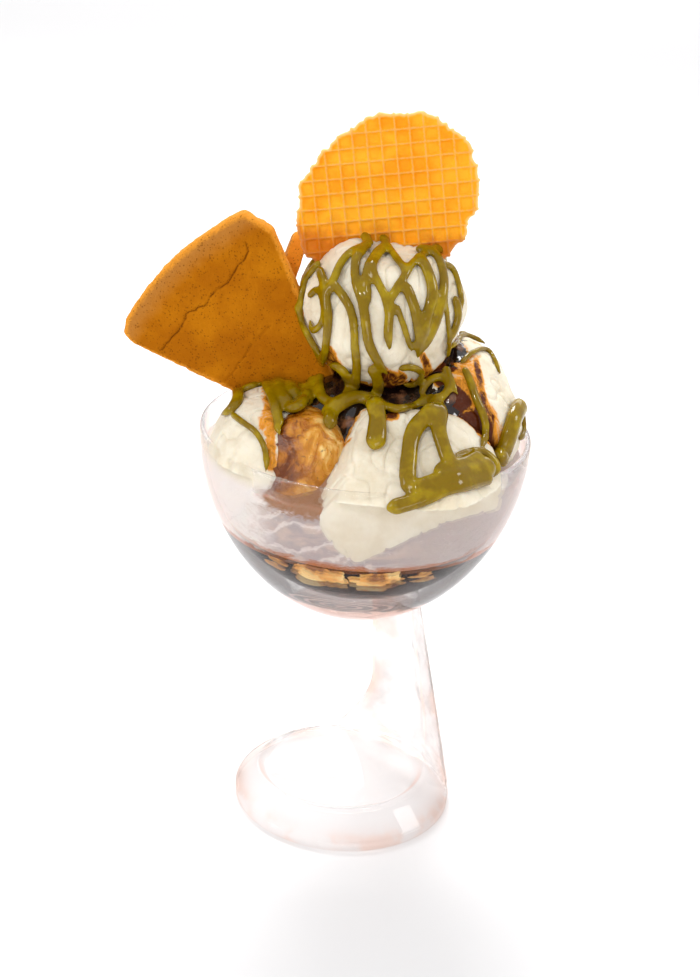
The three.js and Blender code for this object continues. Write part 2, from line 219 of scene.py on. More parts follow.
# a new material and a small kit that adds nodes to it and links them by socket
class Finish:
    def __init__(self, name, colour, roughness, settings=None):
        self.material = bpy.data.materials.new(name)
        self.material.use_nodes = True
        self.tree = self.material.node_tree
        self.shader = self.tree.nodes["Principled BSDF"]
        self.place = self.tree.nodes.new("ShaderNodeTexCoord").outputs["Object"]
        self.shader.inputs["Base Color"].default_value = colour
        self.shader.inputs["Roughness"].default_value = roughness
        for socket, value in (settings or {}).items():
            self.shader.inputs[socket].default_value = value

    def add(self, kind, inputs, output=0, **settings):
        node = self.tree.nodes.new("ShaderNode" + kind)
        for setting, value in settings.items():
            setattr(node, setting, value)
        for socket, value in inputs.items():
            if isinstance(value, bpy.types.NodeSocket):
                self.tree.links.new(value, node.inputs[socket])
            else:
                node.inputs[socket].default_value = value
        return node.outputs[output]

    # a noise whose features are about this many millimetres wide
    def noise(self, size, detail=4, rough=0.55, place=None, bend=0):
        sockets = {"Vector": place or self.place, "Scale": 1 / (size * mm), "Detail": detail}
        sockets.update({"Roughness": rough, "Distortion": bend})
        return self.add("TexNoise", sockets)

    # the place on the object with each axis scaled, so that a pattern is long where the scale is small
    def stretched(self, x, y, z, angles=(0, 0, 0)):
        return self.add("Mapping", {"Vector": self.place, "Scale": (x, y, z), "Rotation": angles})

    # one coordinate of the place on the object: 0 to the right, 1 to the back, 2 up
    def axis(self, number):
        return self.add("SeparateXYZ", {0: self.place}, number)

    # a value stored at the mesh's points
    def mark(self, name):
        return self.add("Attribute", {}, "Fac", attribute_name=name)

    # one value turned into another, eased between the given ends
    def spread(self, value, low, high, start=0, end=1):
        ends = {"Value": value, "From Min": low, "From Max": high, "To Min": start, "To Max": end}
        return self.add("MapRange", ends, interpolation_type="SMOOTHSTEP")

    def maths(self, operation, a, b=0.0):
        return self.add("Math", {0: a, 1: b}, operation=operation)

    def mixed(self, share, a, b, blend="MIX"):
        return self.add("Mix", {0: share, 6: a, 7: b}, 2, data_type="RGBA", blend_type=blend)

    # a colour ramp, its stops given as places from 0 to 1 with their colours
    def colours(self, value, *stops):
        node = self.tree.nodes.new("ShaderNodeValToRGB")
        self.tree.links.new(value, node.inputs["Fac"])
        steps = node.color_ramp.elements
        steps[0].position, steps[1].position = stops[0][0], stops[-1][0]
        for stop in stops[1:-1]:
            steps.new(stop[0])
        for step, (_, colour) in zip(steps, stops):
            step.color = colour
        return node.outputs["Color"]

    # links colour, roughness and a relief of the given depth in mm to the shader
    def paint(self, colour=None, roughness=None, height=None, depth=0.3):
        for socket, value in (("Base Color", colour), ("Roughness", roughness)):
            if value is not None:
                self.tree.links.new(value, self.shader.inputs[socket])
        if height is not None:
            bump = self.add("Bump", {"Height": height, "Distance": depth * mm, "Strength": 1.0})
            self.tree.links.new(bump, self.shader.inputs["Normal"])
        return self.material


# a colour as it shows on screen, in parts of 255, turned into the renderer's own scale
def shade(red, green, blue):
    parts = np.array([red, green, blue]) / 255
    linear = np.where(parts > 0.04045, ((parts + 0.055) / 1.055) ** 2.4, parts / 12.92)
    return (*(float(part) for part in linear), 1.0)


# floor, camera and light
studio = {
    "cameraPlace": (0, -569.4, 372.1),  # mm
    "yaw": -0.40,  # degrees
    "pitch": 23.73,  # degrees down
    "roll": 3.68,
    "lens": 66.8,  # mm, on film 36 mm wide
    "skyLow": (0.74, 0.67, 0.64, 1.0),  # the room is dimmer and warmer low down, bright overhead
    "skyMiddle": (0.69, 0.67, 0.66, 1.0),
    "skyHigh": (0.70, 0.70, 0.71, 1.0),
    "floorColour": (0.78, 0.78, 0.785, 1.0),
    "floorRise": 0.05,  # the foot beds into the floor by this much, so no film of air mirrors under it
    "floorSize": 9000,
    "lamps": {  # place and target in metres, size, watts
        "backSoftbox": ((-0.15, 0.75, 1.05), (0, 0, 0.05), (0.6, 0.4), 12.0),
        "backdrop": ((0, 2.5, 1.2), (0, 2.4, 0), (3.0, 1.2), 22.0),
        "frontFill": ((0.15, -1.3, 0.26), (0, 0, 0.16), (0.9, 0.3), 3.1),
        "leftSoftbox": ((-0.95, -0.3, 0.7), (0, 0, 0.15), (0.2, 0.4), 2.2),
        "rightSoftbox": ((0.8, 0.05, 0.75), (0, 0, 0.15), (0.3, 0.3), 2.6),
        "spark": ((-0.35, -0.75, 0.95), (0, 0, 0.15), (0.06, 0.06), 2.6),
    },
}


# the camera's axes from its yaw, pitch and roll
def cameraTurn():
    yaw, pitch, roll = (math.radians(studio[name]) for name in ("yaw", "pitch", "roll"))
    ahead = np.array([math.sin(yaw) * math.cos(pitch), math.cos(yaw) * math.cos(pitch), -math.sin(pitch)])
    right = unit(np.cross(ahead, [0, 0, 1]))
    up = np.cross(right, ahead)
    tiltedRight = right * math.cos(roll) + up * math.sin(roll)
    tiltedUp = up * math.cos(roll) - right * math.sin(roll)
    return np.stack([tiltedRight, tiltedUp, -ahead], 1)


# the camera, the floor, a room whose light changes with height, and the lamps
def setStudio():
    camera = bpy.data.objects.new("camera", bpy.data.cameras.new("camera"))
    matrix = np.eye(4)
    matrix[:3, :3] = cameraTurn()
    matrix[:3, 3] = np.array(studio["cameraPlace"]) * mm
    camera.matrix_world = Matrix(matrix.tolist())
    camera.data.lens = studio["lens"]
    camera.data.sensor_width = 36
    camera.data.clip_end = 20
    bpy.context.scene.collection.objects.link(camera)
    bpy.context.scene.camera = camera

    half = studio["floorSize"] / 2
    corners = np.array([[-half, -half, 0], [half, -half, 0], [half, half, 0], [-half, half, 0]], float)
    corners[:, 2] = studio["floorRise"]
    white = Finish("floorWhite", studio["floorColour"], 0.6, {"Specular IOR Level": 0.1}).material
    makePiece("floor", corners, np.array([[0, 1, 2, 3]]), white)

    world = bpy.data.worlds.new("room")
    bpy.context.scene.world = world
    world.use_nodes = True
    nodes, links = world.node_tree.nodes, world.node_tree.links
    back = nodes["Background"]
    direction = nodes.new("ShaderNodeTexCoord").outputs["Generated"]
    split = nodes.new("ShaderNodeSeparateXYZ")
    ramp = nodes.new("ShaderNodeValToRGB")
    links.new(direction, split.inputs[0])
    links.new(split.outputs["Z"], ramp.inputs["Fac"])
    links.new(ramp.outputs["Color"], back.inputs["Color"])
    steps = ramp.color_ramp.elements
    steps[0].position, steps[0].color = 0.0, studio["skyLow"]
    steps[1].position, steps[1].color = 0.8, studio["skyHigh"]
    steps.new(0.3).color = studio["skyMiddle"]

    for name, (place, target, size, watts) in studio["lamps"].items():
        light = bpy.data.lights.new(name, "AREA")
        light.shape = "RECTANGLE"
        light.size, light.size_y = size
        light.energy = watts
        lamp = bpy.data.objects.new(name, light)
        away = unit(np.array(place) - np.array(target))
        side = unit(np.cross([0, 0, 1], away))
        turned = np.eye(4)
        turned[:3, :3] = np.stack([side, np.cross(away, side), away], 1)
        turned[:3, 3] = place
        lamp.matrix_world = Matrix(turned.tolist())
        bpy.context.scene.collection.objects.link(lamp)
    bpy.context.scene.view_settings.view_transform = "Standard"


setStudio()
print("studio set")


# the glass: bowl, foot and stem, each closed, then joined into one
glass = {
    "rimRadius": 56,
    "lipRadius": 1.1,
    "rollHeight": 3.2,  # upright part of the wall below the top
    "outerDepth": 64.8,  # from the upright part of the wall to where the outer curve would meet the axis
    "outerPower": 1.8,
    "innerDepth": 55.8,
    "undersideRadius": 22,
    "footRadius": 39.2,
    "footEdge": 3.6,
    "footRound": 0.9,
    "crestHeight": 10,
    "crestRadius": 31,
    "dishFloor": 6.4,
    "dishRadius": 28.1,
    "dishSteepness": 1.38,
    "dishCentre": (-1.2, 5.3),
    "stemBottom": 4,
    "stemTop": 84.4,
    "stemRadius": 40.2,  # where its outer cone would meet the floor
    "stemTaper": 0.212,  # how much smaller the cone gets for each mm up
    "stemAngles": (-1, 76),  # degrees round from the right
    "flareAngle": 20,  # how much further round it reaches at the foot
    "flareHeight": 26,
    "border": 0.21,  # share of its front face on each side of the panel
    "panelDepths": (2.4, 0.8),  # at the floor and at the bowl
    "clearTint": (1.0, 0.99, 0.985, 1.0),
    "depthTint": (1.0, 0.80, 0.74, 1.0),
    "depthDensity": 3.0,
    "edgeReflectionTint": (1.0, 0.62, 0.50, 1.0),  # painted warm reflection: seen at its edges the glass is warmer
    "borderReflectionTint": (1.0, 0.66, 0.54, 1.0),  # painted warm reflection in its thick outer border, low down
    "warmBorder": 6,  # mm
    "warmHeights": (0.084, 0.070),  # from none at the bowl to all of it lower down, in metres
    "body": (0.42, 0.97),  # share of the light that it bends, face on and at its edges
    "bowlHeights": (0.084, 0.088),  # the bowl starts here
    "bowlThinner": 0.4,  # how much less light the bowl bends, face on
    "borderBody": 0.85,
}
shoulder = rimHeight - glass["rollHeight"]
innerRadius = glass["rimRadius"] - 2 * glass["lipRadius"]


# inner radius of the bowl at a height: an ellipse below the shoulder, upright above
def wallAt(height):
    drop = np.clip((shoulder - height) / glass["innerDepth"], 0, 1)
    return innerRadius * np.sqrt(1 - drop * drop)


# outer curve of powered cosines, a half circle over the lip, then the inner ellipse down to the middle
def bowlRings(around=192):
    lowest = math.acos(glass["undersideRadius"] / glass["rimRadius"])
    outer = np.linspace(lowest, 0, 70)
    lip = np.linspace(0, math.pi, 13)[1:-1]
    inner = np.linspace(0, math.pi / 2 - 0.01, 80)
    flat = np.array([1, 12, 21.2])
    lipMiddle = glass["rimRadius"] - glass["lipRadius"]
    radii = [flat, glass["rimRadius"] * np.cos(outer), lipMiddle + glass["lipRadius"] * np.cos(lip)]
    drop = glass["outerDepth"] * np.sin(outer) ** (2 / glass["outerPower"])
    heights = [np.full(3, shoulder - drop[0]), shoulder - drop]
    heights.append(rimHeight - glass["lipRadius"] * (1 - np.sin(lip)))
    radii.append(innerRadius * np.cos(inner))
    heights.append(shoulder - glass["innerDepth"] * np.sin(inner))
    return turnedGrid(np.concatenate(radii), np.concatenate(heights), around)


# flat below, a rounded edge, then a top whose height is the lowest of the sloping band, the crest and the
# side of a dish set off the axis, with the dish's floor below
def footRings(around=192):
    bend = np.linspace(0, math.pi / 2, 7)
    edge, crest = glass["footRadius"] - glass["footRound"], glass["crestRadius"]
    out, up = np.sin(bend), 1 - np.cos(bend)
    radii = [np.array([1, 20]), edge + glass["footRound"] * out, edge + glass["footRound"] * out[::-1]]
    heights = [np.zeros(2), glass["footRound"] * up, glass["footEdge"] - glass["footRound"] * up[::-1]]
    inward = np.linspace(edge - 0.3, 0.6, 110)
    rings = turnedGrid(np.concatenate(radii + [inward]), np.concatenate(heights + [inward]), around)
    top = rings[-len(inward):]
    band = glass["footEdge"] + (edge - inward) * (glass["crestHeight"] - glass["footEdge"]) / (edge - crest)
    height = softMin(band, glass["crestHeight"], 1.0)[:, None]
    fromDish = np.hypot(top[..., 0] - glass["dishCentre"][0], top[..., 1] - glass["dishCentre"][1])
    side = glass["dishFloor"] + (fromDish - glass["dishRadius"]) * glass["dishSteepness"]
    dish = -softMin(-side, -glass["dishFloor"], 1.6)
    top[..., 2] = softMin(height, dish, 0.9)
    return rings


# at each height an arc of a cone, then back along a straight front face with a shallow panel in it
def stemRings():
    share = np.linspace(0, 1, 70) ** 1.2
    height = glass["stemBottom"] + (glass["stemTop"] - glass["stemBottom"]) * share
    radius = np.minimum(glass["stemRadius"] - glass["stemTaper"] * height, glass["footRadius"] - 0.4)
    flare = np.clip(1 - (height - glass["dishFloor"]) / glass["flareHeight"], 0, 1) ** 1.6
    start = np.radians(glass["stemAngles"][0])
    end = np.radians(glass["stemAngles"][1] + glass["flareAngle"] * flare)
    sweep = np.linspace(0, 1, 56)
    angle = start + (end[:, None] - start) * sweep
    arc = np.stack([np.cos(angle), np.sin(angle)], -1) * radius[:, None, None]
    left, right = arc[:, -1:], arc[:, :1]
    across = right - left
    inward = unit(np.stack([-across[..., 1], across[..., 0]], -1))
    border = glass["border"]
    panel = smoothStep(border - 0.03, border + 0.08, sweep)
    panel = panel * smoothStep(border - 0.03, border + 0.08, 1 - sweep)
    depths = glass["panelDepths"]
    depth = depths[0] + (depths[1] - depths[0]) * height[:, None] / glass["stemTop"]
    front = left + across * sweep[:, None] + inward * (panel * depth)[..., None]
    ring = np.concatenate([arc[:, :-1], front[:, :-1]], 1)
    for _ in range(4):
        ring = (np.roll(ring, 1, 1) + 2 * ring + np.roll(ring, -1, 1)) / 4
    level = np.broadcast_to(height[:, None, None], (*ring.shape[:2], 1))
    return np.concatenate([ring, level], -1)


# clear glass with painted warm reflection at its edges and in its outer border low down, partly see-through
# where it is thin
def makeGlass():
    clear = Finish("pressedGlass", glass["clearTint"], 0.015, {"Transmission Weight": 1.0, "IOR": 1.47})
    tint = clear.tree.nodes.new("ShaderNodeVolumeAbsorption")
    tint.inputs["Color"].default_value = glass["depthTint"]
    tint.inputs["Density"].default_value = glass["depthDensity"]
    clear.tree.links.new(tint.outputs[0], clear.tree.nodes["Material Output"].inputs["Volume"])
    facing = clear.add("LayerWeight", {"Blend": 0.5}, "Facing")
    # painted warm reflection: the colour turns warmer where the glass is seen edge-on
    colour = clear.mixed(clear.spread(facing, 0.5, 0.95), glass["clearTint"], glass["edgeReflectionTint"])
    # painted warm reflection in the thick outer border of the foot and stem, low down, in patches
    flatPlace = clear.add("VectorMath", {0: clear.place, 1: (1, 1, 0)}, 0, operation="MULTIPLY")
    outward = clear.add("VectorMath", {0: flatPlace}, 1, operation="LENGTH")
    height = clear.axis(2)
    taper = clear.maths("MULTIPLY", height, glass["stemTaper"])
    coneEdge = clear.maths("SUBTRACT", glass["stemRadius"] * mm, taper)
    inside = clear.maths("SUBTRACT", coneEdge, outward)
    border = clear.spread(inside, glass["warmBorder"] * mm, 0.001)
    border = clear.maths("MULTIPLY", border, clear.spread(height, *glass["warmHeights"]))
    border = clear.maths("MULTIPLY", border, clear.spread(clear.noise(15, 3), 0.38, 0.6, 0.25, 1))
    colour = clear.mixed(border, colour, glass["borderReflectionTint"])
    body = clear.spread(facing, 0.3, 0.95, *glass["body"])
    inBowl = clear.spread(height, *glass["bowlHeights"], 0, glass["bowlThinner"])
    thinner = clear.maths("MULTIPLY", inBowl, clear.spread(facing, 0.7, 0.4))
    body = clear.maths("MULTIPLY", body, clear.maths("SUBTRACT", 1.0, thinner))
    body = clear.maths("MAXIMUM", body, clear.maths("MULTIPLY", border, glass["borderBody"]))
    clear.tree.links.new(body, clear.shader.inputs["Alpha"])
    clear.paint(colour, height=clear.noise(9, 2), depth=0.06)
    bowl = makePiece("glassBowl", *closedRings(bowlRings()), clear.material)
    for name, rings in (("glassFoot", footRings()), ("glassStem", stemRings())):
        part = makePiece(name, *closedRings(rings), clear.material)
        join = bowl.modifiers.new(name, "BOOLEAN")
        join.operation = "UNION"
        join.solver = "MANIFOLD"
        join.object = part
        applied(bowl)
        bpy.data.objects.remove(part)
    bowl.data.set_sharp_from_angle(angle=math.radians(38))
    return finished(bowl, "clear_glass", "glass_coupe")


makeGlass()
print("glass joined")

# how far each kind of food reaches past the glass's inner face, in mm
intoWall = {"syrup": 0.15, "soft": 0.10, "lump": 0.05, "scoop": 0.22, "sponge": 0.32}

syrup = {
    "climb": 0.7,  # how far it creeps up the glass, in mm
    "climbWidth": 1.2,
    "colour": shade(28, 13, 10),
    "streak": shade(70, 42, 32),
    "ringMiddle": (-4, 96.0),  # painted reflection of the stem's joint, an oval of fine rings low on the front: side and height
    "ringSize": (16, 3.0),  # half its width and height
    "ringDensity": 21,
    "ringReflection": shade(178, 150, 142),
    "base": shade(232, 196, 180),  # the lowest part, where the thick bottom of the bowl lights it
    "baseHeight": 92.5,
}


# along the wall's ellipse from the middle of the floor up to a creeping edge, then in over the flat top
def makeSyrup():
    wall = np.linspace(math.pi / 2 - 0.01, math.asin((shoulder - syrupTop) / glass["innerDepth"]), 70)
    radii = (innerRadius + intoWall["syrup"]) * np.cos(wall)
    heights = shoulder - (glass["innerDepth"] + intoWall["syrup"]) * np.sin(wall)
    inward = np.linspace(0, 1, 40) ** 1.6
    top = radii[-1] * (1 - 0.99 * inward)
    lift = syrup["climb"] * np.exp(-inward * radii[-1] / syrup["climbWidth"])
    rings = turnedGrid(np.append(radii, top), np.append(heights, syrupTop + lift), 160)
    finish = Finish("darkSyrup", syrup["colour"], 0.12, {"Specular IOR Level": 0.1})
    streaks = finish.noise(9, 5, 0.6, finish.stretched(1, 1, 2.2), 1.2)
    colour = finish.mixed(finish.spread(streaks, 0.52, 0.72), syrup["colour"], syrup["streak"])
    height = finish.axis(2)
    wander = finish.maths("ADD", height, finish.spread(streaks, 0.2, 0.8, -0.0015, 0.0015))
    # painted light on the lowest part, where the thick bottom of the bowl lights it
    base = syrup["baseHeight"] * mm
    lowest = finish.spread(wander, base + 0.0016, base - 0.0004, 0, 0.9)
    colour = finish.mixed(lowest, colour, syrup["base"])
    # painted reflection of the stem's joint below the bowl, as fine rings in an oval low on the front
    (side, middleHeight), (halfWidth, halfHeight) = syrup["ringMiddle"], syrup["ringSize"]
    size = (1 / (halfWidth * mm), 0, 1 / (halfHeight * mm))
    shift = (-side / halfWidth, 0, -middleHeight / halfHeight)
    oval = finish.add("Mapping", {"Vector": finish.place, "Scale": size, "Location": shift})
    fromMiddle = finish.add("VectorMath", {0: oval}, 1, operation="LENGTH")
    lines = finish.maths("SINE", finish.maths("MULTIPLY", fromMiddle, syrup["ringDensity"]))
    within = finish.spread(fromMiddle, 1.06, 0.98, 0, 0.6)
    lines = finish.maths("MULTIPLY", finish.spread(lines, 0.1, 1), within)
    front = finish.spread(finish.axis(1), -0.004, -0.008)
    colour = finish.mixed(finish.maths("MULTIPLY", lines, front), colour, syrup["ringReflection"])
    finish.paint(colour, finish.spread(streaks, 0.3, 0.8, 0.08, 0.3), streaks, 0.25)
    return finished(makePiece("syrupPool", *closedRings(rings), finish.material), "syrup", "syrup_pool")


makeSyrup()

scoops = {  # as in the solids: middle, radii, size and phase of the slow waves, then each flat side
    "scoop_top": {
        "middle": (2.9, 0.5, 186),
        "radii": (26.6, 25.5, 26),
        "wave": (0.03, 0.4),
        "flats": [((0.04, -0.1, 1), 21.5), ((0, 0, -1), 23.5), ((-0.55, -0.5, 0.66), 24.5)],
    },
    "scoop_front": {
        "middle": (12, -30, 138),
        "radii": (33, 33, 27),
        "wave": (0.025, 2.1),
        "flats": [
            ((-0.08, -0.62, 0.78), 21),
            ((0.6, -0.35, 0.72), 25),
            ((-0.8, -0.2, 0.56), 23),
            ((0, 0.3, 0.95), 24),
            ((0.45, -0.5, -0.74), 19.5),
        ],
    },
    "scoop_right": {
        "middle": (27, 7, 147),
        "radii": (25.5, 31, 28),
        "wave": (0.035, 4.2),
        "flats": [((0.75, -0.2, 0.63), 25.5)],
    },
    "scoop_left": {
        "middle": (-30, -15, 139),
        "radii": (22.5, 26, 22),
        "wave": (0.03, 1.2),
        "flats": [((-0.6, -0.5, 0.62), 23.5)],
    },
    "scoop_back": {
        "middle": (-5, 31, 142),
        "radii": (33, 24, 26),
        "wave": (0.035, 5.3),
        "flats": [((0.1, 0.7, 0.7), 22.5)],
    },
    "lump": {  # soaked with syrup, behind the glass, a little wider than in the solids
        "middle": (-19.5, -26, 139),
        "radii": (15.5, 18, 21),
        "wave": (0.04, 3),
        "flats": [],
    },
    "heap": {  # dark syrup piled under the top scoop
        "middle": (2.9, -2, 151),
        "radii": (27, 27, 15.5),
        "wave": (0.05, 2.5),
        "flats": [],
    },
}
madeApart = ("lump", "heap")


# distance from a scoop's middle to its surface: an ellipsoid with slow waves, then the nearest flat side
def scoopReach(scoop, direction):
    size, phase = scoop["wave"]
    around = np.arctan2(direction[..., 1], direction[..., 0])
    level = np.hypot(direction[..., 0], direction[..., 1])
    waves = level * np.sin(3 * around + phase)
    waves = waves + 0.7 * level * np.sin(5 * direction[..., 2] + 2 * around + 2 * phase)
    reach = (1 + size * waves) / np.linalg.norm(direction / scoop["radii"], axis=-1)
    for normal, distance in scoop["flats"]:
        facing = direction @ unit(np.array(normal))
        reach = softMin(reach, distance / np.maximum(facing, 0.05), 1.6)
    return reach


# how far points are outside the ice cream, negative inside, over all the named scoops
def outsideIce(points, names=tuple(scoops)):
    gaps = []
    for name in names:
        away = points - scoops[name]["middle"]
        gaps.append(np.linalg.norm(away, axis=-1) - scoopReach(scoops[name], unit(away)))
    return np.min(gaps, axis=0)


# the six sides of a cube as square grids, pushed out to a ball, with their shared edges merged
def ballGrid(count):
    steps = np.tan(np.linspace(-1, 1, count + 1) * math.pi / 4)
    u, v = np.meshgrid(steps, steps, indexing="ij")
    one = np.ones_like(u)
    sides = [(one, u, v), (-one, v, u), (v, one, u), (u, -one, v), (u, v, one), (v, u, -one)]
    points = unit(np.concatenate([inPieces(np.stack(side, -1)) for side in sides]))
    faces = np.concatenate([gridFaces(count + 1, count + 1) + k * (count + 1) ** 2 for k in range(6)])
    first, index = np.unique(np.round(points, 5), axis=0, return_index=True, return_inverse=True)[1:]
    return points[first], index.ravel()[faces][:, ::-1]


# where lines from the camera's place through points meet the middle plane, as side and height
def onMiddlePlane(points):
    eye = np.array(studio["cameraPlace"], float)
    reach = -eye[1] / (points[:, 1] - eye[1])
    return (eye + (points - eye) * reach[:, None])[:, [0, 2]]


# keeps points within the bowl: on the glass below the rim, free to lap over it close to the top
def heldByBowl(points, into, lap=4.5, lowest=syrupTop - 0.4):
    over = smoothStep(rimHeight - lap, rimHeight - lap + 3.5, points[:, 2]) * 25
    limit = wallAt(points[:, 2]) + into + over
    across = np.hypot(points[:, 0], points[:, 1])
    share = np.minimum(1, limit / np.maximum(across, 1e-6))
    held = points * np.stack([share, share, np.ones_like(share)], -1)
    held[:, 2] = np.maximum(held[:, 2], lowest)
    return held


iceCream = {
    "lumps": 0.75,  # mm, each at its own size
    "creases": 0.8,
    "grain": 0.16,
    "lit": shade(236, 228, 208),
    "shaded": shade(222, 210, 184),
    "cool": shade(240, 232, 228),  # below the rim on the left
    "coolHeights": (0.141, 0.136),  # in metres
    "stain": shade(84, 34, 8),
    "stainEdge": shade(226, 150, 42),
    "runs": {  # syrup that has run down a scoop: half width in mm, strength, places as (side, height)
        "scoop_top": [
            (3.0, 0.8, [(-14, 171), (-12, 166), (-9, 163)]),
            (2.6, 0.9, [(2, 166), (6, 163), (11, 163)]),
            (2.0, 0.8, [(17, 172), (19, 168), (20, 165)]),
        ],
        "scoop_right": [
            (7.5, 0.6, [(27, 173), (30, 169), (33, 160), (36, 153), (39, 146), (42, 141)]),
            (3.4, 1.2, [(20, 168), (25, 163), (28, 160), (31, 156)]),
            (1.8, 0.85, [(28, 160), (32, 155), (35, 149)]),
            (1.6, 0.85, [(35, 171), (37, 164), (39, 157), (42, 150), (43, 144)]),
        ],
        "scoop_left": [(3.2, 0.62, [(-33, 156), (-32.5, 148), (-32, 138), (-31, 128)])],
        "scoop_front": [
            (3.0, 0.95, [(9, 158), (8, 153), (8.5, 150)]),
            (2.5, 0.5, [(-12, 156), (-15, 150), (-17, 144)]),
        ],
    },
}


# cream with amber and then dark brown where its stain is strong, in wisps that run down
def iceFinish(name):
    settings = {"Subsurface Weight": 0.35, "Subsurface Scale": 0.004, "IOR": 1.36}
    settings.update({"Subsurface Radius": (1.0, 0.8, 0.6), "Specular IOR Level": 0.35})
    finish = Finish(name, iceCream["lit"], 0.42, settings)
    clouds = finish.noise(11, 4, 0.6)
    fine = finish.noise(1.1, 6, 0.65)
    frost = finish.noise(0.35, 3, 0.6)
    cream = finish.mixed(finish.spread(clouds, 0.35, 0.7), iceCream["lit"], iceCream["shaded"])
    height = finish.axis(2)
    side = finish.axis(0)
    leftward = finish.spread(side, -0.01, -0.02, 0.15, 0.9)
    cool = finish.maths("MULTIPLY", finish.spread(height, *iceCream["coolHeights"]), leftward)
    cream = finish.mixed(cool, cream, iceCream["cool"])
    wisps = finish.noise(2.6, 5, 0.65, finish.stretched(1, 1, 0.3, (0, 0.35, 0)), 0.9)
    wisp = finish.spread(wisps, 0.3, 0.7, -0.2, 0.22)
    some = finish.maths("MULTIPLY", wisp, finish.spread(finish.mark("stain"), 0.08, 0.4))
    wet = finish.maths("ADD", finish.mark("stain"), some)
    edge = finish.spread(wet, 0.22, 0.6)
    deep = finish.spread(wet, 0.6, 1.0)
    stained = finish.mixed(edge, cream, iceCream["stainEdge"])
    colour = finish.mixed(deep, stained, iceCream["stain"])
    gloss = finish.spread(wet, 0.2, 0.8, 0.48, 0.14)
    bumps = finish.maths("ADD", finish.maths("MULTIPLY", fine, 0.8), finish.maths("MULTIPLY", frost, 0.2))
    return finish.paint(colour, gloss, bumps, 0.35)


# the scoop's reach plus lumps, thin creases running down it and a fine grain, held by the bowl
def makeScoop(name, grid, material, seed):
    scoop = scoops[name]
    direction, faces = grid
    place = np.array(scoop["middle"]) + direction * scoopReach(scoop, direction)[:, None]
    lumps = drift(place, 10, seed) * iceCream["lumps"]
    fall = drift(place * [1, 1, 0.35] + drift(place, 9, seed + 4)[:, None] * 1.5, 5.5, seed + 7)
    creases = -iceCream["creases"] * np.clip(1 - np.abs(fall) * 5, 0, 1) ** 2
    grain = rough(place, 1.8, 3, seed + 9) * iceCream["grain"]
    change = lumps + creases + grain
    points = heldByBowl(place + direction * change[:, None], intoWall["scoop"])
    others = [other for other in scoops if other not in (name, "lump")]
    gap = outsideIce(points, others)
    patches = rough(points * [1, 1, 0.4], 9, 3, seed + 20)
    stain = np.clip(1.15 - gap / 5 + patches * 0.9, 0, 1.4)
    for width, strength, places in iceCream["runs"].get(name, []):
        apart = distanceToLine(onMiddlePlane(points), curveThrough(places)) / width
        ragged = apart * (1 + 0.45 * rough(points * [1, 1, 0.35], 6, 3, seed + 24))
        stain = np.maximum(stain, strength * smoothStep(1.3, 0.3, ragged))
    return makePiece("cream" + name.split("_")[1].capitalize(), points, faces, material, {"stain": stain})


grid = ballGrid(96)
creamMaterial = iceFinish("vanillaIceCream")
for seed, name in enumerate(name for name in scoops if name not in madeApart):
    finished(makeScoop(name, grid, creamMaterial, 30 * seed), "ice_cream", name)
print("scoops made")

soft = {
    "wallTop": 136.5,
    "rise": [(0, 163), (20, 160), (34, 150), (45, 139), (54, 137)],  # radius, height
    "murky": shade(204, 184, 174),
    "lavender": shade(176, 162, 162),
    "frost": shade(240, 232, 226),
    "bottomLine": shade(176, 98, 36),
    "taupe": shade(190, 176, 172),
    "brown": shade(158, 112, 78),  # near the rim, below the soaked lump
    "syrupTop": shade(40, 20, 14),  # on the mound in the middle
}


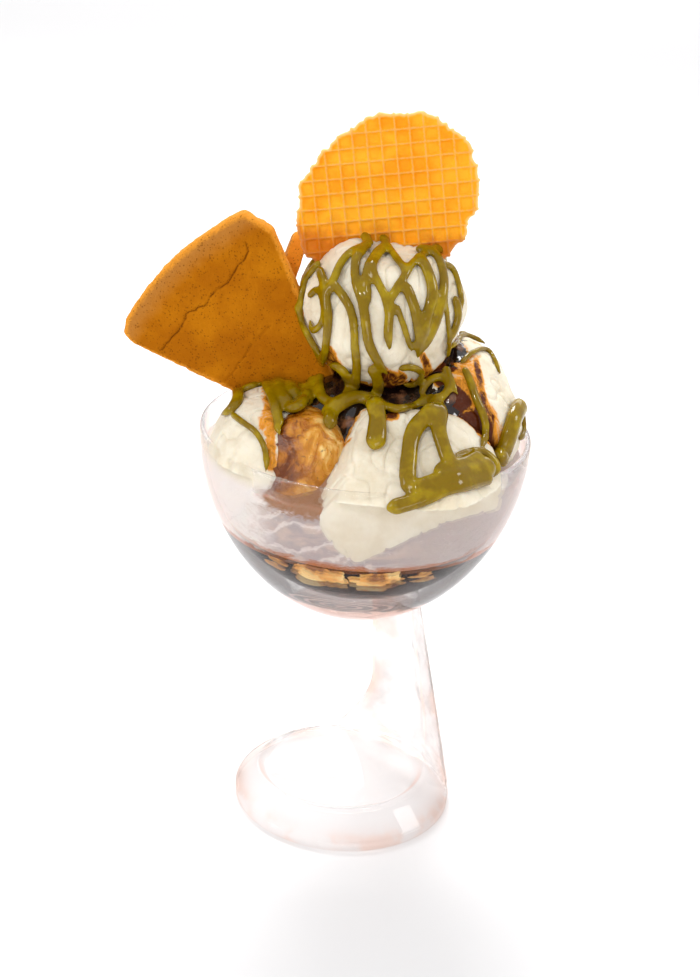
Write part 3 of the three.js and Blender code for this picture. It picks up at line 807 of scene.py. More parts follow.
# out over the syrup, up the glass to a wandering edge, then over a mound to the middle
def makeSoftLayer():
    around = 220
    angle = np.arange(around) * turn / around
    compass = np.stack([np.cos(angle), np.sin(angle), np.zeros(around)], -1)
    edge = soft["wallTop"] + 2.2 * drift(compass * 40, 22, 5) + 0.9 * drift(compass * 50, 7, 6)
    up = np.linspace(0, 1, 60)[:, None]
    height = syrupTop - 0.3 + (edge - syrupTop + 0.3) * up
    radius = wallAt(height) + intoWall["soft"]
    inward = np.linspace(1, 0.02, 90)[:, None]
    topRadius = radius[-1] * inward
    steps, rises = np.array(soft["rise"], float).T
    topHeight = np.interp(topRadius, steps, rises) + (edge - soft["wallTop"]) * inward ** 4
    bottomShare = np.linspace(0.02, 1, 20)[:, None]
    radii = np.concatenate([radius[0] * bottomShare, radius[1:], topRadius[1:]])
    heights = np.concatenate([np.full((20, around), syrupTop - 0.3), height[1:], topHeight[1:]])
    rings = compass[None] * radii[..., None]
    rings[..., 2] = heights
    bumps = rough(rings, 6, 3, 40) * smoothStep(0, 6, rings[..., 2] - edge + 3)
    rings[..., 2] += bumps * 0.8

    settings = {"Subsurface Weight": 0.2, "Subsurface Scale": 0.003}
    finish = Finish("softIceCream", soft["murky"], 0.3, settings)
    height = finish.axis(2)
    side = finish.axis(0)
    swirl = finish.noise(13, 5, 0.6, finish.stretched(1, 1, 1.8), 1.4)
    threads = finish.noise(5, 6, 0.7, finish.stretched(1, 1, 2.6, (0.25, 0.3, 0)), 2.2)
    body = finish.mixed(finish.spread(swirl, 0.4, 0.62), soft["lavender"], soft["murky"])
    warmSide = finish.spread(side, 0.002, 0.03)
    body = finish.mixed(warmSide, body, soft["taupe"])
    body = finish.mixed(finish.spread(threads, 0.55, 0.68, 0, 0.75), body, soft["frost"])
    wave = {"Vector": finish.stretched(1, 1, 1, (0, 0.35, 0)), "Scale": 46.0, "Distortion": 9.0}
    wave.update({"Detail": 4.0, "Detail Scale": 1.8})
    lines = finish.add("TexWave", wave, 1, bands_direction="Z")
    lines = finish.spread(lines, 0.78, 0.99, 0, 0.6)
    lines = finish.maths("MULTIPLY", lines, finish.spread(side, 0.02, -0.004))
    body = finish.mixed(lines, body, soft["frost"])
    pale = finish.maths("ADD", side, finish.spread(swirl, 0.2, 0.8, -0.006, 0.006))
    body = finish.mixed(finish.spread(pale, -0.026, -0.036, 0, 0.9), body, soft["frost"])
    ragged = finish.maths("ADD", height, finish.spread(threads, 0.3, 0.7, -0.002, 0.002))
    upper = finish.maths("MULTIPLY", finish.spread(side, 0.0, -0.012), finish.spread(pale, -0.034, -0.026))
    upper = finish.maths("MULTIPLY", upper, finish.spread(ragged, 0.1315, 0.1345))
    body = finish.mixed(upper, body, soft["brown"])
    body = finish.mixed(finish.spread(ragged, 0.143, 0.149), body, soft["syrupTop"])
    wander = finish.maths("ADD", height, finish.spread(swirl, 0.2, 0.8, -0.0018, 0.0018))
    low = finish.spread(wander, (syrupTop + 2.6) * mm, (syrupTop + 1.2) * mm)
    colour = finish.mixed(low, body, soft["bottomLine"])
    finish.paint(colour, finish.spread(threads, 0.3, 0.7, 0.4, 0.22), threads, 0.3)
    return makePiece("softIceCream", *closedRings(rings), finish.material)


soaked = {
    "dark": shade(104, 48, 2),
    "middle": shade(166, 98, 8),
    "light": shade(206, 140, 36),
    "pale": shade(238, 202, 126),
    "speck": shade(84, 38, 6),
}


# an amber lump of ice cream soaked with syrup, its right side paler with painted light
def makeLump(grid):
    scoop = scoops["lump"]
    direction, faces = grid
    place = np.array(scoop["middle"]) + direction * scoopReach(scoop, direction)[:, None]
    change = drift(place, 9, 71) * 0.8 + rough(place, 4, 3, 73) * 0.3
    points = heldByBowl(place + direction * change[:, None], intoWall["lump"])
    settings = {"Subsurface Weight": 0.15, "Subsurface Scale": 0.002}
    finish = Finish("soakedIceCream", soaked["middle"], 0.28, settings)
    clouds = finish.noise(6, 5, 0.6, finish.stretched(1, 1, 0.6), 0.9)
    specks = finish.noise(1.9, 3, 0.6)
    side = finish.axis(0)
    # painted light: paler towards the right where light falls on it, added to the clouds of its own uneven
    # soaking
    paintedLightRight = finish.spread(side, -0.028, -0.011, -0.08, 0.42)
    pale = finish.maths("ADD", paintedLightRight, finish.spread(clouds, 0.32, 0.72, 0, 0.6))
    colour = finish.colours(pale, (0.05, soaked["dark"]), (0.36, soaked["middle"]),
                            (0.66, soaked["light"]), (0.92, soaked["pale"]))
    colour = finish.mixed(finish.spread(specks, 0.60, 0.70, 0, 0.6), colour, soaked["speck"])
    finish.paint(colour, finish.spread(clouds, 0.3, 0.7, 0.2, 0.45), finish.noise(2.4, 5, 0.55), 0.45)
    return makePiece("soakedLump", points, faces, finish.material)


sponge = {
    "pieces": [  # side place, half length, half height, half depth, seed
        (-13, 9.0, 3.9, 5, 1),
        (-7, 5.5, 4.4, 5, 4),
        (3.5, 7.0, 4.6, 5, 2),
        (10, 5.0, 3.2, 5, 5),
        (-24, 5.0, 1.7, 3, 3),
        (20, 5.5, 1.4, 3, 6),
    ],
    "middleDepth": 2.9,  # how far their middles lie below the top of the syrup
    "lumpiness": 0.42,
    "crumb": shade(238, 168, 76),
    "pale": shade(250, 214, 140),
    "dark": shade(128, 62, 14),
}


# flattened lumps of sponge lying in the top of the syrup against the glass
def makeSponge():
    direction, faces = ballGrid(44)
    tilt = np.array(Matrix.Rotation(math.radians(40), 3, (1, 0.6, 0.3)))
    parts = []
    for side, length, height, depth, seed in sponge["pieces"]:
        level = syrupTop - sponge["middleDepth"]
        out = -math.sqrt(wallAt(level) ** 2 - side ** 2) + depth * 0.6
        boxy = unit(np.sign(direction) * np.abs(direction) ** 0.75)
        lumpy = 1 + sponge["lumpiness"] * rough(direction @ tilt * 10 + 30 * seed, 8, 3, seed)
        points = boxy * (length, depth, height) * lumpy[:, None]
        place = points + (side, out, level)
        parts.append((heldByBowl(place, intoWall["sponge"], lowest=syrupTop - 9), faces))
    finish = Finish("wetSponge", sponge["crumb"], 0.45)
    pores = finish.noise(1.3, 4, 0.7)
    clumps = finish.noise(6, 3, 0.5, None, 0.5)
    crumb = finish.mixed(finish.spread(clumps, 0.45, 0.62), sponge["crumb"], sponge["pale"])
    crumb = finish.mixed(finish.spread(clumps, 0.46, 0.34, 0, 0.85), crumb, sponge["dark"])
    colour = finish.mixed(finish.spread(pores, 0.54, 0.72, 0, 0.5), crumb, sponge["dark"])
    finish.paint(colour, None, pores, 0.6)
    return makePiece("spongeBits", *gathered(parts), finish.material)


finished(makeSoftLayer(), "soft_layer", "soft_ice_cream")
finished(makeLump(ballGrid(80)), "soft_layer", "soft_ice_cream")
finished(makeSponge(), "biscuit")
print("soft ice cream and sponge made")

wafer = {
    "middle": (2, 8, 220.4),
    "radius": 29.2,
    "oval": 2.9,  # how much more or less than the radius its edge reaches
    "ovalAngle": 45,  # degrees
    "thickness": 3.2,
    "pitch": 4.65,  # from ridge to ridge
    "hollow": 1.0,  # how deep the squares are
    "ridgeWidth": 0.8,
    "teeth": 0.6,  # how far ridges stand out beyond hollows at the broken edge
    "leanBack": 7,  # degrees
    "gridTurn": 9,
    "samples": 12,  # mesh steps for each cell
    "cell": shade(252, 181, 34),
    "cellDeep": shade(246, 158, 8),
    "ridge": shade(240, 176, 92),
    "edge": shade(248, 200, 120),
    "wet": shade(190, 110, 40),
    "wetHeights": (0.2125, 0.205),  # soaked below this, in metres
}


# 1 on the lines of a square grid, falling smoothly to 0 at a ridge's width from them
def ridgeAt(gx, gy):
    cells = [place / wafer["pitch"] for place in (gx, gy)]
    toLine = [np.abs(cell - np.round(cell)) * wafer["pitch"] for cell in cells]
    low = [smoothStep(0.05, wafer["ridgeWidth"], gap) for gap in toLine]
    return np.clip(1 - softMin(*low, 0.2), 0, 1)


# square hollows between ridges on both faces, cut to an oval with a ragged rim where it thins out
def makeWafer():
    spacing = wafer["pitch"] / wafer["samples"]
    count = math.ceil((wafer["radius"] + wafer["oval"] + 2) / spacing)
    line = np.arange(-count, count + 1) * spacing
    gx, gy = np.meshgrid(line, line, indexing="ij")
    lean = math.radians(wafer["gridTurn"])
    x, y = gx * math.cos(lean) - gy * math.sin(lean), gx * math.sin(lean) + gy * math.cos(lean)
    angle, radius = np.arctan2(y, x), np.hypot(x, y)
    edge = wafer["radius"] + wafer["oval"] * np.cos(2 * (angle - math.radians(wafer["ovalAngle"])))
    edge += 0.35 * np.sin(11 * angle) + 0.25 * np.sin(17 * angle + 1)
    compass = np.stack([np.cos(angle), np.sin(angle), np.zeros_like(angle)], -1)
    onEdge = ridgeAt(edge * np.cos(angle - lean), edge * np.sin(angle - lean))
    edge += rough(compass * 30, 4.5, 3, 90) * 0.75 + (onEdge - 0.5) * wafer["teeth"]
    outside = radius > edge
    scale = np.where(outside, edge / np.maximum(radius, 1e-6), 1)
    x, y, inset = x * scale, y * scale, np.maximum(edge - radius, 0)
    ridge = ridgeAt(gx, gy)
    flat = np.stack([x, y, np.zeros_like(x)], -1)
    thick = wafer["thickness"] / 2 * (0.45 + 0.55 * smoothStep(0, 1.6, inset) ** 0.5)
    warp = 0.5 * drift(flat, 21, 93)
    faces = gridFaces(len(line), len(line))[:, ::-1]
    faces = faces[~outside.ravel()[faces].all(1)]
    layers = []
    for side in (1, -1):
        crumb = rough(flat + 50 * side, 1.6, 2, 95) * 0.1
        deep = wafer["hollow"] * (1 - ridge) * smoothStep(0.2, 1.8, inset)
        layers.append(inPieces(np.stack([x, y, side * (thick - deep + crumb) + warp], -1)))
    points = np.concatenate(layers)
    faces = backedFaces(faces, x.size)
    back = math.radians(wafer["leanBack"])
    up = np.array([0, math.sin(back), math.cos(back)])
    face = np.array([0, -math.cos(back), math.sin(back)])
    points = wafer["middle"] + points @ np.stack([[1, 0, 0], up, face])
    used, index = np.unique(faces, return_inverse=True)
    marks = {"ridge": np.tile(ridge.ravel(), 2)[used], "inset": np.tile(inset.ravel(), 2)[used]}

    settings = {"Subsurface Weight": 0.15, "Subsurface Scale": 0.002, "Specular IOR Level": 0.15}
    finish = Finish("waferBake", wafer["cell"], 0.5, settings)
    patches = finish.noise(12, 4)
    crumbs = finish.noise(0.8, 4, 0.7)
    base = finish.mixed(finish.spread(patches, 0.35, 0.65), wafer["cell"], wafer["cellDeep"])
    high = finish.maths("ADD", finish.mark("ridge"), finish.spread(crumbs, 0.3, 0.7, -0.25, 0.25))
    colour = finish.mixed(finish.spread(high, 0.5, 1.0, 0, 0.85), base, wafer["ridge"])
    rimShare = finish.spread(finish.mark("inset"), 1.3, 0.1)
    colour = finish.mixed(rimShare, colour, wafer["edge"])
    height = finish.axis(2)
    wander = finish.maths("ADD", height, finish.spread(patches, 0.2, 0.8, -0.006, 0.006))
    wet = finish.spread(wander, *wafer["wetHeights"], 0, 0.65)
    colour = finish.mixed(wet, colour, wafer["wet"], "MULTIPLY")
    finish.paint(colour, finish.spread(high, 0, 1, 0.38, 0.6), crumbs, 0.25)
    return makePiece("roundWafer", points[used], index.reshape(faces.shape), finish.material, marks)


finished(makeWafer(), "wafer", "wafer_disc")
print("wafer made")

biscuits = {
    "biscuit_front": {
        "thickness": 7,
        "radii": (24, 94.5),  # of the cut-off point and of the arc
        "angles": (115.5, 156.4),  # of its two sides, the one that has lost its corner first
        "broken": (85.6, 119.4),  # radius on that side, and angle on the arc, where the break ends
        "corner": 7,
        "round": 1.8,  # radius of the rounding along its edges
        "point": (2.6, -0.5, 134.7),  # the fan's centre
        "axes": [[1, 0, 0], [0, 0, 1], [0, -1, 0]],
        "cracks": [  # depth in mm, then places of the crack as side and height
            (0.65, [(-43, 207.5), (-42, 204.5), (-45, 198.5), (-48, 193.5), (-53, 189.5), (-55, 185.5),
                    (-57, 184.5), (-61, 181.5), (-63, 177.5), (-65, 174.5), (-69, 168.5)]),
            (0.3, [(-34, 179.5), (-38, 174.5), (-42, 168.5), (-47, 159.5)]),
        ],
        "steps": (430, 62),  # of the mesh: around the outline, and inwards
    },
    "biscuit_back": {
        "thickness": 5.5,
        "radii": (14, 72),
        "angles": (75, 50),
        "broken": (69.5, 73.5),
        "corner": 5,
        "round": 1.5,
        "tip": (-26, 18, 203.2),  # where the break meets the side
        "leanRight": 16,  # degrees
        "cracks": [],
        "steps": (260, 40),
    },
}
bake = {
    "face": shade(190, 116, 10),
    "faceDark": shade(168, 96, 6),
    "arcBand": shade(182, 122, 56),
    "edge": shade(236, 156, 50),
    "pore": shade(98, 50, 4),
}


# a fan's edge: up the side that has lost its corner, over the arc, round the other corner to the point
def fanOutline(fan, count):
    def at(radius, degrees):
        return np.stack([radius * np.cos(np.radians(degrees)), radius * np.sin(np.radians(degrees))], -1)

    inner, outer = fan["radii"]
    lost, kept = fan["angles"]
    cornerSweep = math.degrees(fan["corner"] / (outer - fan["corner"])) * (1 if kept < lost else -1)
    arc = at(outer, np.linspace(fan["broken"][1], kept + cornerSweep, 60))
    t = np.linspace(0, 1, 14)[:, None]
    corner = arc[-1] * (1 - t) ** 2 + at(outer, kept) * 2 * t * (1 - t)
    corner = corner + at(outer - fan["corner"], kept) * t ** 2
    ends = [at(inner, lost)[None], at(fan["broken"][0], lost)[None], arc, corner, at(inner, kept)[None]]
    line = np.concatenate(ends + [at(inner, lost)[None]])
    line = along(line, count + 1)[:-1]
    for _ in range(3):
        line = (np.roll(line, 1, 0) + 2 * line + np.roll(line, -1, 0)) / 4
    return line if lost < kept else line[::-1]


# where a fan's centre lies and the directions of its flat axes and its face
def fanPlacing(fan):
    if "axes" in fan:
        return np.array(fan["point"]), np.array(fan["axes"], float)
    lean, side = math.radians(fan["leanRight"]), math.radians(fan["angles"][0])
    lower = fan["broken"][0]
    upward = [math.sin(lean), 0, math.cos(lean)]
    axes = np.array([[0, 1, 0], upward, [math.cos(lean), 0, -math.sin(lean)]])
    return fan["tip"] - lower * (math.cos(side) * axes[0] + math.sin(side) * axes[1]), axes


# the outline drawn in towards its middle on the back, round the edge and on the front, with cracks
def makeBiscuit(name, material):
    fan = biscuits[name]
    around, inward = fan["steps"]
    outline = fanOutline(fan, around)
    middle = outline.mean(0)
    reach = np.linalg.norm(outline - middle, axis=1)
    bend = np.linspace(-math.pi / 2, math.pi / 2, 11)
    flat = np.linspace(0.02, 0.97, inward) ** 0.8
    inset = fan["round"] * (1 - np.cos(bend))
    share = 1 - inset[:, None] / reach
    faceShare = np.broadcast_to(flat[:, None], (inward, around)) * share[0]
    shares = np.concatenate([faceShare, share, faceShare[::-1]])
    half = fan["thickness"] / 2
    rimHeights = np.sin(bend) * fan["round"] + np.sign(bend) * (half - fan["round"])
    heights = np.concatenate([np.full(inward, -half), rimHeights, np.full(inward, half)])
    flatPlace = middle + (outline - middle)[None] * shares[..., None]
    local = np.concatenate([flatPlace, np.broadcast_to(heights[:, None, None], (*shares.shape, 1))], -1)
    start, axes = fanPlacing(fan)
    points = start + local @ axes
    outwards = np.sign(local[..., 2]) * (np.abs(local[..., 2]) > half - 0.3)
    groove = np.zeros(shares.shape)
    for depth, places in fan["cracks"]:
        wander = np.stack([drift(points, 2.4, 7), drift(points, 2.4, 8)], -1) * 0.8
        gap = distanceToLine(points[..., [0, 2]] + wander, np.array(places, float))
        groove = np.maximum(groove, depth * np.exp(-(gap / 0.3) ** 2) * (local[..., 2] > 0))
    swell = 0.3 * drift(points, 12, 3) + 0.12 * rough(points, 3, 3, 4)
    local[..., 2] += outwards * (swell - groove)
    edgeward = smoothStep(0.93, 1, shares)
    crumble = rough(points, 2.2, 3, 5) * edgeward
    local[..., :2] += (local[..., :2] - middle) / reach[None, :, None] * (crumble * 0.28)[..., None]
    arcGap = fan["radii"][1] - np.linalg.norm(local[..., :2], axis=-1)
    points, faces = closedRings(start + local @ axes)
    marks = {"groove": groove, "arcGap": arcGap, "edgeGap": (1 - shares) * reach}
    marks = {mark: np.append(values.ravel(), [0, 0]) for mark, values in marks.items()}
    return makePiece(name.replace("_f", "F").replace("_b", "B"), points, faces, material, marks)


# golden bake, darker in patches, paler at its arc and edge, with small pores and painted shade in its
# cracks
def biscuitFinish():
    finish = Finish("bakedBiscuit", bake["face"], 0.62, {"Specular IOR Level": 0.03})
    patches = finish.noise(16, 4)
    grain = finish.noise(0.9, 5, 0.7)
    body = finish.mixed(finish.spread(patches, 0.35, 0.65), bake["face"], bake["faceDark"])
    band = finish.maths("ADD", finish.mark("arcGap"), finish.spread(patches, 0.2, 0.8, -2.5, 2.5))
    body = finish.mixed(finish.spread(band, 9, 1.5, 0, 0.85), body, bake["arcBand"])
    rim = finish.maths("ADD", finish.mark("edgeGap"), finish.spread(grain, 0.3, 0.7, -0.4, 0.4))
    body = finish.mixed(finish.spread(rim, 2.2, 0.4, 0, 0.8), body, bake["edge"])
    body = finish.mixed(finish.spread(grain, 0.35, 0.65, 0, 0.22), body, bake["faceDark"])
    dots = finish.add("TexVoronoi", {"Vector": finish.place, "Scale": 1 / (0.9 * mm)})
    chance = finish.noise(1.7, 2)
    limit = finish.spread(chance, 0.34, 0.66, 0.08, 0.3)
    pores = finish.maths("LESS_THAN", dots, limit)
    body = finish.mixed(finish.maths("MULTIPLY", pores, 0.5), body, bake["pore"])
    # painted shade in the cracks
    body = finish.mixed(finish.spread(finish.mark("groove"), 0.15, 0.7, 0, 0.85), body, bake["pore"])
    height = finish.maths("SUBTRACT", grain, finish.maths("MULTIPLY", pores, 0.9))
    return finish.paint(body, finish.spread(grain, 0.3, 0.7, 0.55, 0.72), height, 0.28)


baked = biscuitFinish()
for name in biscuits:
    finished(makeBiscuit(name, baked), "biscuit", name)
print("biscuits made")

# what is poured over: dark syrup between the scoops and a green-gold sauce in ropes
pour = {
    "from": studio["cameraPlace"],  # where the middle plane's places are seen from
    "ropeRound": 14,  # sides of a rope
    "stepLength": 0.5,  # mm from ring to ring
    "broad": 2.2,  # mm, ropes over this radius end round, thinner ones in a point
    "sunk": 0.25,  # share of a rope's radius that lies in the ice cream
    "behind": (  # laid over the back as well
        "left", "leftInner", "leftBranch", "middle", "rightOfMiddle", "thinShort", "rightLong",
        "rightArch", "rightDark", "loopMiddle", "tongue", "acrossMiddle", "rightFall", "bandRight",
    ),
    "voxel": 0.54,  # mm, the lattice on which the ropes melt together
}
ropes = {  # radius in mm, then places on the middle plane as (side, height)
    # over the top scoop
    "farLeft": (1.9, [(-23, 187), (-25, 180), (-25, 173), (-23, 166), (-19, 160), (-15, 157)]),
    "left": (1.4, [(-19, 203), (-21.5, 197), (-23, 190), (-23, 182), (-20, 176), (-17, 171), (-15, 166)]),
    "leftInner": (1.5, [(-18, 199), (-16, 194), (-15, 189), (-14, 183),
                        (-14, 177), (-14.5, 171), (-15.5, 165)]),
    "leftCross": (1.1, [(-21, 189), (-18, 192), (-16, 187), (-16, 181), (-19, 178), (-20, 182)]),
    "leftPeak": (1.5, [(-5, 207), (-8, 205), (-11, 201), (-13, 195), (-15, 189), (-14, 185)]),
    "leftBranch": (1.4, [(-13, 194), (-8, 188), (-6, 182), (-5, 174), (-4, 167), (-4, 159), (-5, 155)]),
    "middle": (1.6, [(-3, 208), (-6, 204), (-6, 196), (-3.5, 189),
                     (-2, 182), (-1, 176), (2, 170), (6, 165)]),
    "middleTwin": (1.2, [(3, 209), (-1, 205), (-3, 199), (-2, 192), (-2, 186)]),
    "rightOfMiddle": (1.45, [(3, 208), (-1, 202), (0, 197), (3, 192), (5, 186), (5, 180), (6, 173)]),
    "crossing": (1.2, [(3, 208), (6, 204), (9, 200), (8, 196)]),
    "slant": (1.3, [(16, 206), (12, 203), (9, 198), (6, 192), (5, 187)]),
    "thinShort": (1.0, [(7, 189), (9, 184), (11, 179), (13, 173)]),
    "rightLong": (1.6, [(9, 196), (12, 190), (14, 184), (15, 178), (15, 171)]),
    "rightBroad": (1.9, [(13, 205), (16, 200), (18, 194), (17, 187), (16, 180), (15, 174)]),
    "rightArch": (1.6, [(12, 207), (17, 207), (20, 203), (21.5, 197),
                        (21, 190), (20, 184), (18, 178), (15, 172)]),
    "rightEdge": (1.0, [(21, 202), (22.5, 197), (22.5, 191), (24, 184), (25, 178), (25, 172)]),
    "rightCurl": (1.2, [(21, 203), (24, 202), (26, 198), (27.5, 193), (28, 187)]),
    "rightDark": (1.4, [(25, 193), (27, 187), (26, 181), (24, 176)]),
    # on the syrup between the scoops
    "loopLeft": (1.6, [(-15, 166), (-16, 160), (-15, 154), (-11, 152),
                       (-7, 155), (-6, 161), (-9, 166), (-13, 167)]),
    "loopMiddle": (1.8, [(0, 168), (3, 163), (3, 157), (1, 152)]),
    "coilRight": (1.4, [(18, 157), (20, 162), (24, 164), (27, 161), (25, 157), (21, 154), (17, 153)]),
    "coilSmall": (1.2, [(9, 167), (13, 168), (17, 166), (15, 162), (11, 162)]),
    "acrossMiddle": (1.6, [(4, 153), (9, 151), (14, 152), (19, 155), (23, 158)]),
    # over the front scoop
    "arch": (2.5, [(-13, 142), (-13, 147), (-10, 151), (-5, 154), (0, 154), (3, 150), (4, 146)]),
    "tongue": (2.8, [(1.5, 154), (3.5, 150), (4, 145), (4, 140), (3, 135.5)]),
    "bandLeft": (2.5, [(24, 158), (23, 153), (20, 149), (17, 145),
                       (15.7, 140), (15.5, 134), (15.5, 127), (17, 120)]),
    "bandRight": (2.4, [(24, 156), (24, 150), (24, 145), (26, 139), (28, 134), (31, 129)]),
    "rimEdge": (2.6, [(9, 114), (14, 116), (21, 119), (28, 123), (35, 126), (43, 129)]),
    "poolLow": (3.0, [(15, 121), (21, 123), (27, 126), (33, 129), (38, 131), (43, 133)]),
    "poolHigh": (2.6, [(24, 128), (29, 131), (34, 133), (39, 136)]),
    "foldOne": (1.3, [(29, 134), (33, 137), (38, 138.5), (42, 137), (45, 133), (44, 129)]),
    "foldTwo": (1.2, [(32, 133), (36, 135), (40, 134.5), (41, 131), (38, 129.5), (35, 131)]),
    # over the right scoop
    "highThin": (1.0, [(26, 176), (30, 179), (35, 180), (38, 177)]),
    "highCurl": (1.0, [(30, 169), (33, 173), (38, 175), (41, 171), (43, 166)]),
    "rightShort": (1.5, [(25, 168), (27, 163), (30, 158)]),
    "rightFall": (1.3, [(31, 168), (34, 162), (36, 157), (39, 151), (40, 145), (39, 139)]),
    "rightSmear": (2.9, [(50, 156), (48, 151), (47, 146), (46, 141), (45, 136)]),
    "rightSmearThin": (1.4, [(50, 157), (53, 153), (54, 149), (51, 144)]),
    # over the left scoop
    "leftBow": (1.7, [(-44, 156), (-40, 158), (-35, 157), (-32, 152), (-30, 145), (-28, 139)]),
    "leftFold": (2.0, [(-48, 156), (-43, 153), (-44, 148), (-48, 145)]),
    "leftThin": (1.1, [(-45, 146), (-41, 143), (-37, 140), (-34, 135), (-33, 130), (-33, 126)]),
    "clusterLoop": (2.3, [(-31, 159), (-29, 153), (-26, 149), (-23, 149), (-21, 153), (-22, 159)]),
    "clusterLong": (1.6, [(-33, 159), (-32, 152), (-30, 146), (-28, 140)]),
    "clusterFill": (2.4, [(-27, 160), (-26, 155), (-24, 152)]),
}
drizzle = {
    "colour": shade(126, 100, 0),
    "light": shade(158, 133, 4),
    "dark": shade(100, 78, 0),
}
glaze = {
    "reach": 43,  # how far from the middle the dark syrup goes
    "spacing": 0.6,  # mm between its points
    "middle": (2.9, 0.5),  # under the top scoop
    "filling": 130,  # rounds of smoothing that turn the ground into a level which fills its hollows
    "colour": shade(24, 13, 13),
    "thin": shade(128, 84, 56),
}


# where lines from the pouring point, or from its mirror image behind, through places on the middle plane
# first meet the ice cream
def landOn(places, behind=False):
    eye = np.array(pour["from"], float) * (1, -1 if behind else 1, 1)
    through = np.stack([places[:, 0], np.zeros(len(places)), places[:, 1]], -1)
    ray = unit(through - eye)
    start = np.linalg.norm(through - eye, axis=1) - 75
    steps = np.arange(0, 130, 0.8)
    depth = start[:, None] + steps
    points = eye + ray[:, None] * depth[..., None]
    gap = outsideIce(points)
    meets = gap < 0
    met = meets.any(1)
    index = np.where(met, meets.argmax(1), gap.argmin(1))
    return np.take_along_axis(points, index[:, None, None], 1)[:, 0]


# the direction straight out of the ice cream, from how the distance to it changes along each axis
def slopeOf(points):
    nudges = np.eye(3) * 0.4
    changes = [outsideIce(points + nudge) - outsideIce(points - nudge) for nudge in nudges]
    return unit(np.stack(changes, -1))


# a round rope along a path on the ice cream, thinner at its ends, flattened on to the surface
def ropeOn(radius, places, seed, behind=False):
    path = landOn(curveThrough(places), behind)
    for _ in range(10):
        path[1:-1] = (path[:-2] + 2 * path[1:-1] + path[2:]) / 4
    length = np.linalg.norm(np.diff(path, axis=0), axis=1).sum()
    path = along(path, max(int(length / pour["stepLength"]), 12))
    for _ in range(4):
        normal = slopeOf(path)
        path = path - normal * (outsideIce(path) - radius * (1 - pour["sunk"]) * 0.8)[:, None]
        path[1:-1] = (path[:-2] + 2 * path[1:-1] + path[2:]) / 4
    normal = slopeOf(path)
    run = unit(np.gradient(path, axis=0))
    across = unit(np.cross(run, normal))
    up = np.cross(across, run)
    share = np.linspace(0, 1, len(path))
    taper = 1.1 if radius > pour["broad"] else 3.5
    ends = np.clip(share * length / (radius * 1.1), 0.02, 1) ** 0.5
    ends = ends * np.clip((1 - share) * length / (radius * taper), 0.02, 1) ** 0.5
    width = radius * ends * (1 + 0.14 * drift(path + seed * 31, 9, seed))
    angle = np.arange(pour["ropeRound"]) * turn / pour["ropeRound"]
    circle = across[:, None] * np.cos(angle)[:, None] * 1.12 + up[:, None] * np.sin(angle)[:, None] * 0.86
    return closedRings(path[:, None] + circle * width[:, None, None])


# all ropes melted together on a fine lattice of cubes, then smoothed
def makeDrizzle():
    parts = [ropeOn(radius, places, seed) for seed, (radius, places) in enumerate(ropes.values())]
    parts += [ropeOn(*ropes[name], 50 + seed, behind=True) for seed, name in enumerate(pour["behind"])]
    settings = {"Subsurface Weight": 0.08, "Subsurface Scale": 0.001, "Specular IOR Level": 0.2}
    settings.update({"Coat Weight": 0.2, "Coat Roughness": 0.02})
    finish = Finish("greenGoldSauce", drizzle["colour"], 0.1, settings)
    pools = finish.noise(7, 3)
    fine = finish.noise(1.8, 3)
    colour = finish.mixed(finish.spread(pools, 0.42, 0.7), drizzle["colour"], drizzle["light"])
    colour = finish.mixed(finish.spread(fine, 0.45, 0.8, 0, 0.3), colour, drizzle["dark"])
    finish.paint(colour, finish.spread(fine, 0.3, 0.7, 0.06, 0.13), pools, 0.1)
    piece = makePiece("sauceRopes", *gathered(parts), finish.material)
    remesh = piece.modifiers.new("melt", "REMESH")
    remesh.mode = "VOXEL"
    remesh.voxel_size = pour["voxel"] * mm
    smooth = piece.modifiers.new("soften", "SMOOTH")
    smooth.factor, smooth.iterations = 0.6, 6
    applied(piece)
    print("sauce triangles", len(piece.data.polygons) * 2)
    return piece


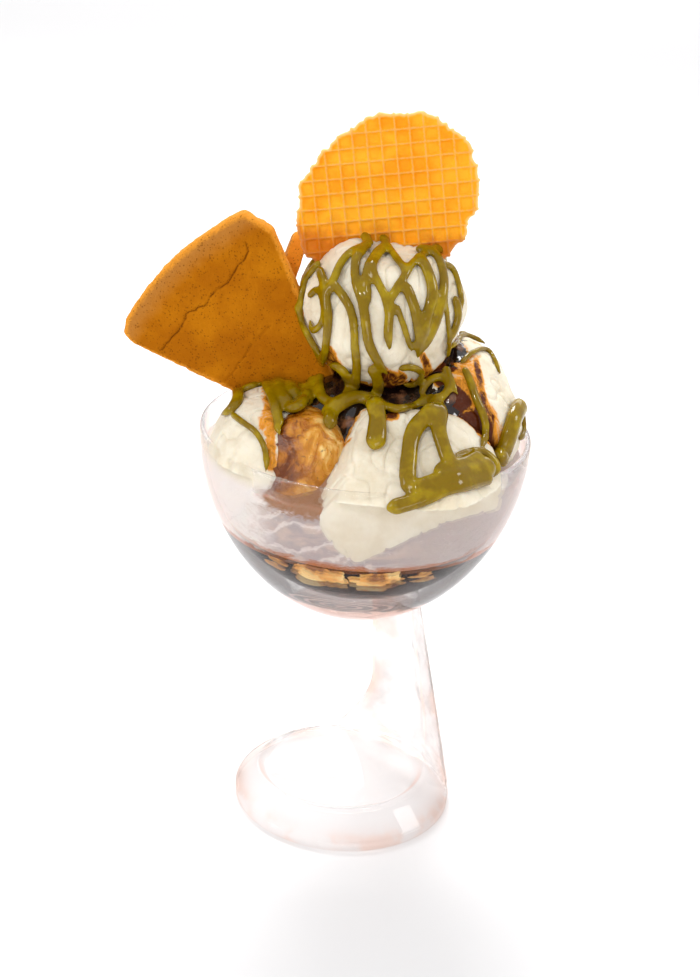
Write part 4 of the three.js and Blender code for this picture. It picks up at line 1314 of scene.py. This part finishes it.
# a grid of values averaged with its neighbours, again and again
def blurred(values, times):
    for _ in range(times):
        padded = np.pad(values, 1, mode="edge")
        besides = padded[:-2, 1:-1] + padded[2:, 1:-1] + padded[1:-1, :-2] + padded[1:-1, 2:]
        values = (besides + 2 * values) / 6
    return values


# the height of the lower scoops from above, and over it a level surface that fills their hollows
def makeGlaze():
    spacing = glaze["spacing"]
    line = np.arange(-glaze["reach"], glaze["reach"] + 0.1, spacing)
    x, y = np.meshgrid(line, line, indexing="ij")
    lower = [name for name in scoops if name != "scoop_top"]
    steps, rises = np.array(soft["rise"], float).T
    ground = np.interp(np.hypot(x, y), steps, rises)
    for height in np.arange(syrupTop + 10, scoops["scoop_top"]["middle"][2] - 8, spacing):
        inside = outsideIce(np.stack([x, y, np.full(x.shape, height)], -1), lower) < 0
        ground[inside] = np.maximum(ground[inside], height)
    ground = blurred(ground, 3)
    level = blurred(ground, glaze["filling"])
    flat = np.stack([x, y, np.zeros_like(x)], -1)
    radius = np.hypot(x - glaze["middle"][0], y - glaze["middle"][1])
    patch = smoothStep(40, 24, radius + 6 * rough(flat, 9, 3, 120))
    top = np.maximum(level - 0.4, ground + 0.5) * patch + (ground - 3) * (1 - patch)
    top = top + 0.15 * drift(flat, 4, 130)
    rings = np.stack([x, y, top], -1)
    count = len(line)
    faces = gridFaces(count, count)[:, ::-1]
    faces = backedFaces(faces[(patch.ravel()[faces] > 0.04).all(1)], x.size)
    upper = inPieces(rings)
    used, index = np.unique(faces, return_inverse=True)
    points, faces = np.concatenate([upper, upper - [0, 0, 4]])[used], index.reshape(faces.shape)
    finish = Finish("darkGlaze", glaze["colour"], 0.05, {"Coat Weight": 0.4, "Coat Roughness": 0.02})
    thin = finish.noise(7, 4, 0.6)
    colour = finish.mixed(finish.spread(thin, 0.52, 0.72), glaze["colour"], glaze["thin"])
    finish.paint(colour, finish.spread(thin, 0.3, 0.8, 0.03, 0.12), finish.noise(3.5, 2), 0.3)
    return makePiece("darkGlaze", points, faces, finish.material)


finished(makeGlaze(), "syrup")
finished(makeDrizzle(), "syrup")
print("sauces poured")
